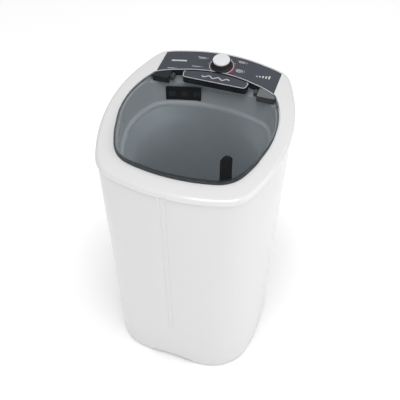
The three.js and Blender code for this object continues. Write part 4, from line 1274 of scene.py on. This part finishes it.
def add_motor():
    low, high = MOTOR_BOTTOM, MOTOR_TOP
    profile = [(0, low), (40, low, 3), (56, low + 8, 4), (56, low + 24, 1), (MOTOR_RADIUS, low + 28, 1)]
    ribs = 11
    for k in range(ribs):
        z = lerp(low + 32, high - 32, k / (ribs - 1))
        profile += [(MOTOR_RADIUS, z - 1.4, 0.5), (MOTOR_RADIUS - 3, z - 1.2, 0.5)]
        profile += [(MOTOR_RADIUS - 3, z + 1.2, 0.5), (MOTOR_RADIUS, z + 1.4, 0.5)]
    profile += [(MOTOR_RADIUS, high - 28, 1), (56, high - 24, 1), (56, high - 8, 4), (24, high, 2)]
    profile += [(6.5, high, 0.5), (6.5, 200), (0, 200)]
    add_turned("motor_housing", "cabinet", "motor_enamel", profile, 0, MOTOR_Y)
    shaft_radius = 6
    add_turned("motor_shaft", "motor_rotor", "zinc_steel", rod(shaft_radius, 202, 303, 0.8), 0, MOTOR_Y)
    wheel = pulley("motor_pulley_fine", MOTOR_PULLEY_RADIUS, shaft_radius + GAP, MOTOR_Y)
    finish_piece(wheel, "motor_rotor", "pulley_metal", "motor_pulley")
    foot = BASE_PAN["top"] + GAP
    can = [(0, foot), (20, foot, 1), (20, 88, 1.2), (18.5, 90, 1),
           (18.5, 92, 1), (20, 94, 1), (20, 96, 0.8), (0, 96)]
    add_turned("run_capacitor", "cabinet", "grey_plastic", can, 120, MOTOR_Y)
    dress_node("motor_cradle", 0.8)
    dress_node("programme_timer", 1.5)
    dress_node("timer_shaft", 0.4)


def add_drain_fittings():
    outlet = [(9, 334, 0.5), (14, 334, 1), (14, 358, 2), (22, 358, 1),
              (22, 370, 1), (11.5, 370, 0.5), (11.5, 378, 0.5), (9, 378, 0.5)]
    x, y = DRAIN_HOLE["x"], DRAIN_HOLE["y"]
    add_turned("drain_outlet", "cabinet", "grey_plastic", outlet, x, y, closed=True)
    spigot = [(9, -20, 0.4), (13, -20, 0.6), (13, 1.5), (18, 1.5, 0.8), (18, 5, 1), (12, 5.4, 1)]
    for barb in (9, 14, 19):
        spigot += [(10.8, barb, 0.3), (12, barb + 0.4, 0.3), (10.8, barb + 4.2, 0.3)]
    spigot += [(10.6, 26, 0.6), (9, 26, 0.4)]
    place = on_rear_wall(DRAIN_EXIT["x"], DRAIN_EXIT["z"])
    add_turned("drain_spigot", "cabinet", "dark_plastic", spigot, place=place, closed=True)


def add_cord_gland():
    gland = [(5, -12, 0.3), (8, -12, 0.5), (8, 1.5), (13, 1.5, 0.6),
             (13, 4, 1), (9, 6, 0.8), (8, 9, 0.6), (5, 9, 0.4)]
    place = on_rear_wall(CORD_EXIT["x"], CORD_EXIT["z"])
    add_turned("cord_gland", "cabinet", "black_rubber", gland, place=place, closed=True)


def add_drain_hose():
    """The corrugated hose from the tank's outlet to the spigot; its route is chosen."""
    def corrugation(distance):
        return 10.2 + 0.8 * math.cos(distance * math.tau / 6)

    x, y = DRAIN_HOLE["x"], DRAIN_HOLE["y"]
    mouth = on_rear_wall(DRAIN_EXIT["x"], DRAIN_EXIT["z"])(np.array([(0, 0, -50), (0, 0, -21.5)], float))
    route = [(x, y, 333.4), (x, y, 300), (x - 12, y + 20, 230), (x - 28, 70, 160), *mouth]
    hose = tube("drain_hose_fine", route, corrugation, steps=360)
    finish_piece(hose, "cabinet", "grey_plastic", "drain_hose")


def add_harness():
    """The wires from the timer to the motor; their route is chosen."""
    route = [(20, 234, 914), (24, 240, 880), (60, 232, 700), (60, 226, 450),
             (58, 205, 320), (48, MOTOR_Y + 22, 266)]
    harness = tube("control_harness_fine", route, 4.8, steps=120)
    finish_piece(harness, "cabinet", "black_rubber", "control_harness")


# ---------------------------------------------------------------- studio
def add_floor():
    nodes = Nodes("studio_floor")
    paper = nodes.blend(nodes.noise(0.7, 2), (0.93, 0.93, 0.93), (0.95, 0.95, 0.95))
    nodes.feed("Base Color", paper)
    nodes.feed("Roughness", 0.9)
    nodes.feed("Specular IOR Level", 0.1)
    nodes.feed("Emission Color", (1, 1, 1, 1))
    # The floor's glow is 0.24 within 0.3 m of the machine and rises to 0.5 beyond 0.75 m: the dimmer ring
    # close by is a painted contact shadow, and the even glow further out keeps the backdrop white.
    distance = nodes.add("ShaderNodeVectorMath", operation="LENGTH")
    nodes.link(nodes.place, distance.inputs[0])
    glow_with_painted_contact_shade = nodes.spread(distance.outputs["Value"], 0.24, 0.5, 0.3, 0.75)
    nodes.feed("Emission Strength", glow_with_painted_contact_shade)
    reach = 9000
    floor = box("studio_floor", (-reach, -reach, -30), (reach, reach, 0))
    floor.data.materials.append(nodes.material)


def add_light(name, place, target, size, power):
    data = bpy.data.lights.new(name, "AREA")
    data.shape = "RECTANGLE"
    data.size, data.size_y = size
    data.energy = power
    light = bpy.data.objects.new(name, data)
    bpy.context.scene.collection.objects.link(light)
    light.location = place
    light.rotation_euler = (Vector(target) - Vector(place)).to_track_quat("-Z", "Y").to_euler()


def add_studio():
    world = bpy.data.worlds.new("studio")
    world.use_nodes = True
    background = world.node_tree.nodes["Background"]
    background.inputs["Color"].default_value = (1, 1, 1, 1)
    background.inputs["Strength"].default_value = 0.42
    bpy.context.scene.world = world
    middle = (0, 0, 0.6)
    add_light("key", (3.1, -0.4, 2.6), middle, (2.4, 2.4), 24)
    add_light("overhead", (0.3, -0.9, 2.9), middle, (1.2, 1.2), 26)
    add_light("fill", (-3.0, -1.6, 2.2), middle, (1.2, 2.6), 2)
    bpy.context.scene.view_settings.view_transform = "Standard"


def add_camera():
    """The photograph's view: 20 degrees to the right of the front, looking 45 degrees down."""
    azimuth, elevation = math.radians(19.79), math.radians(44.75)
    level = math.cos(elevation)
    back = Vector((math.sin(azimuth) * level, -math.cos(azimuth) * level, math.sin(elevation)))
    data = bpy.data.cameras.new("camera")
    data.sensor_width = 36
    data.lens = 54
    data.shift_x = -0.004
    data.shift_y = 0.006
    camera = bpy.data.objects.new("camera", data)
    bpy.context.scene.collection.objects.link(camera)
    camera.location = Vector((0, 0.035, 0.52629)) + back * 2.141
    camera.rotation_euler = (-back).to_track_quat("-Z", "Y").to_euler()
    bpy.context.scene.camera = camera


add_cabinet()
add_base()
add_top_cover()
add_fascia()
add_knob()
add_lid()
add_hinges()
add_tub()
add_label()
add_filter()
add_agitator()
add_drive()
add_motor()
add_drain_fittings()
add_cord_gland()
add_drain_hose()
add_harness()
add_floor()
add_studio()
add_camera()
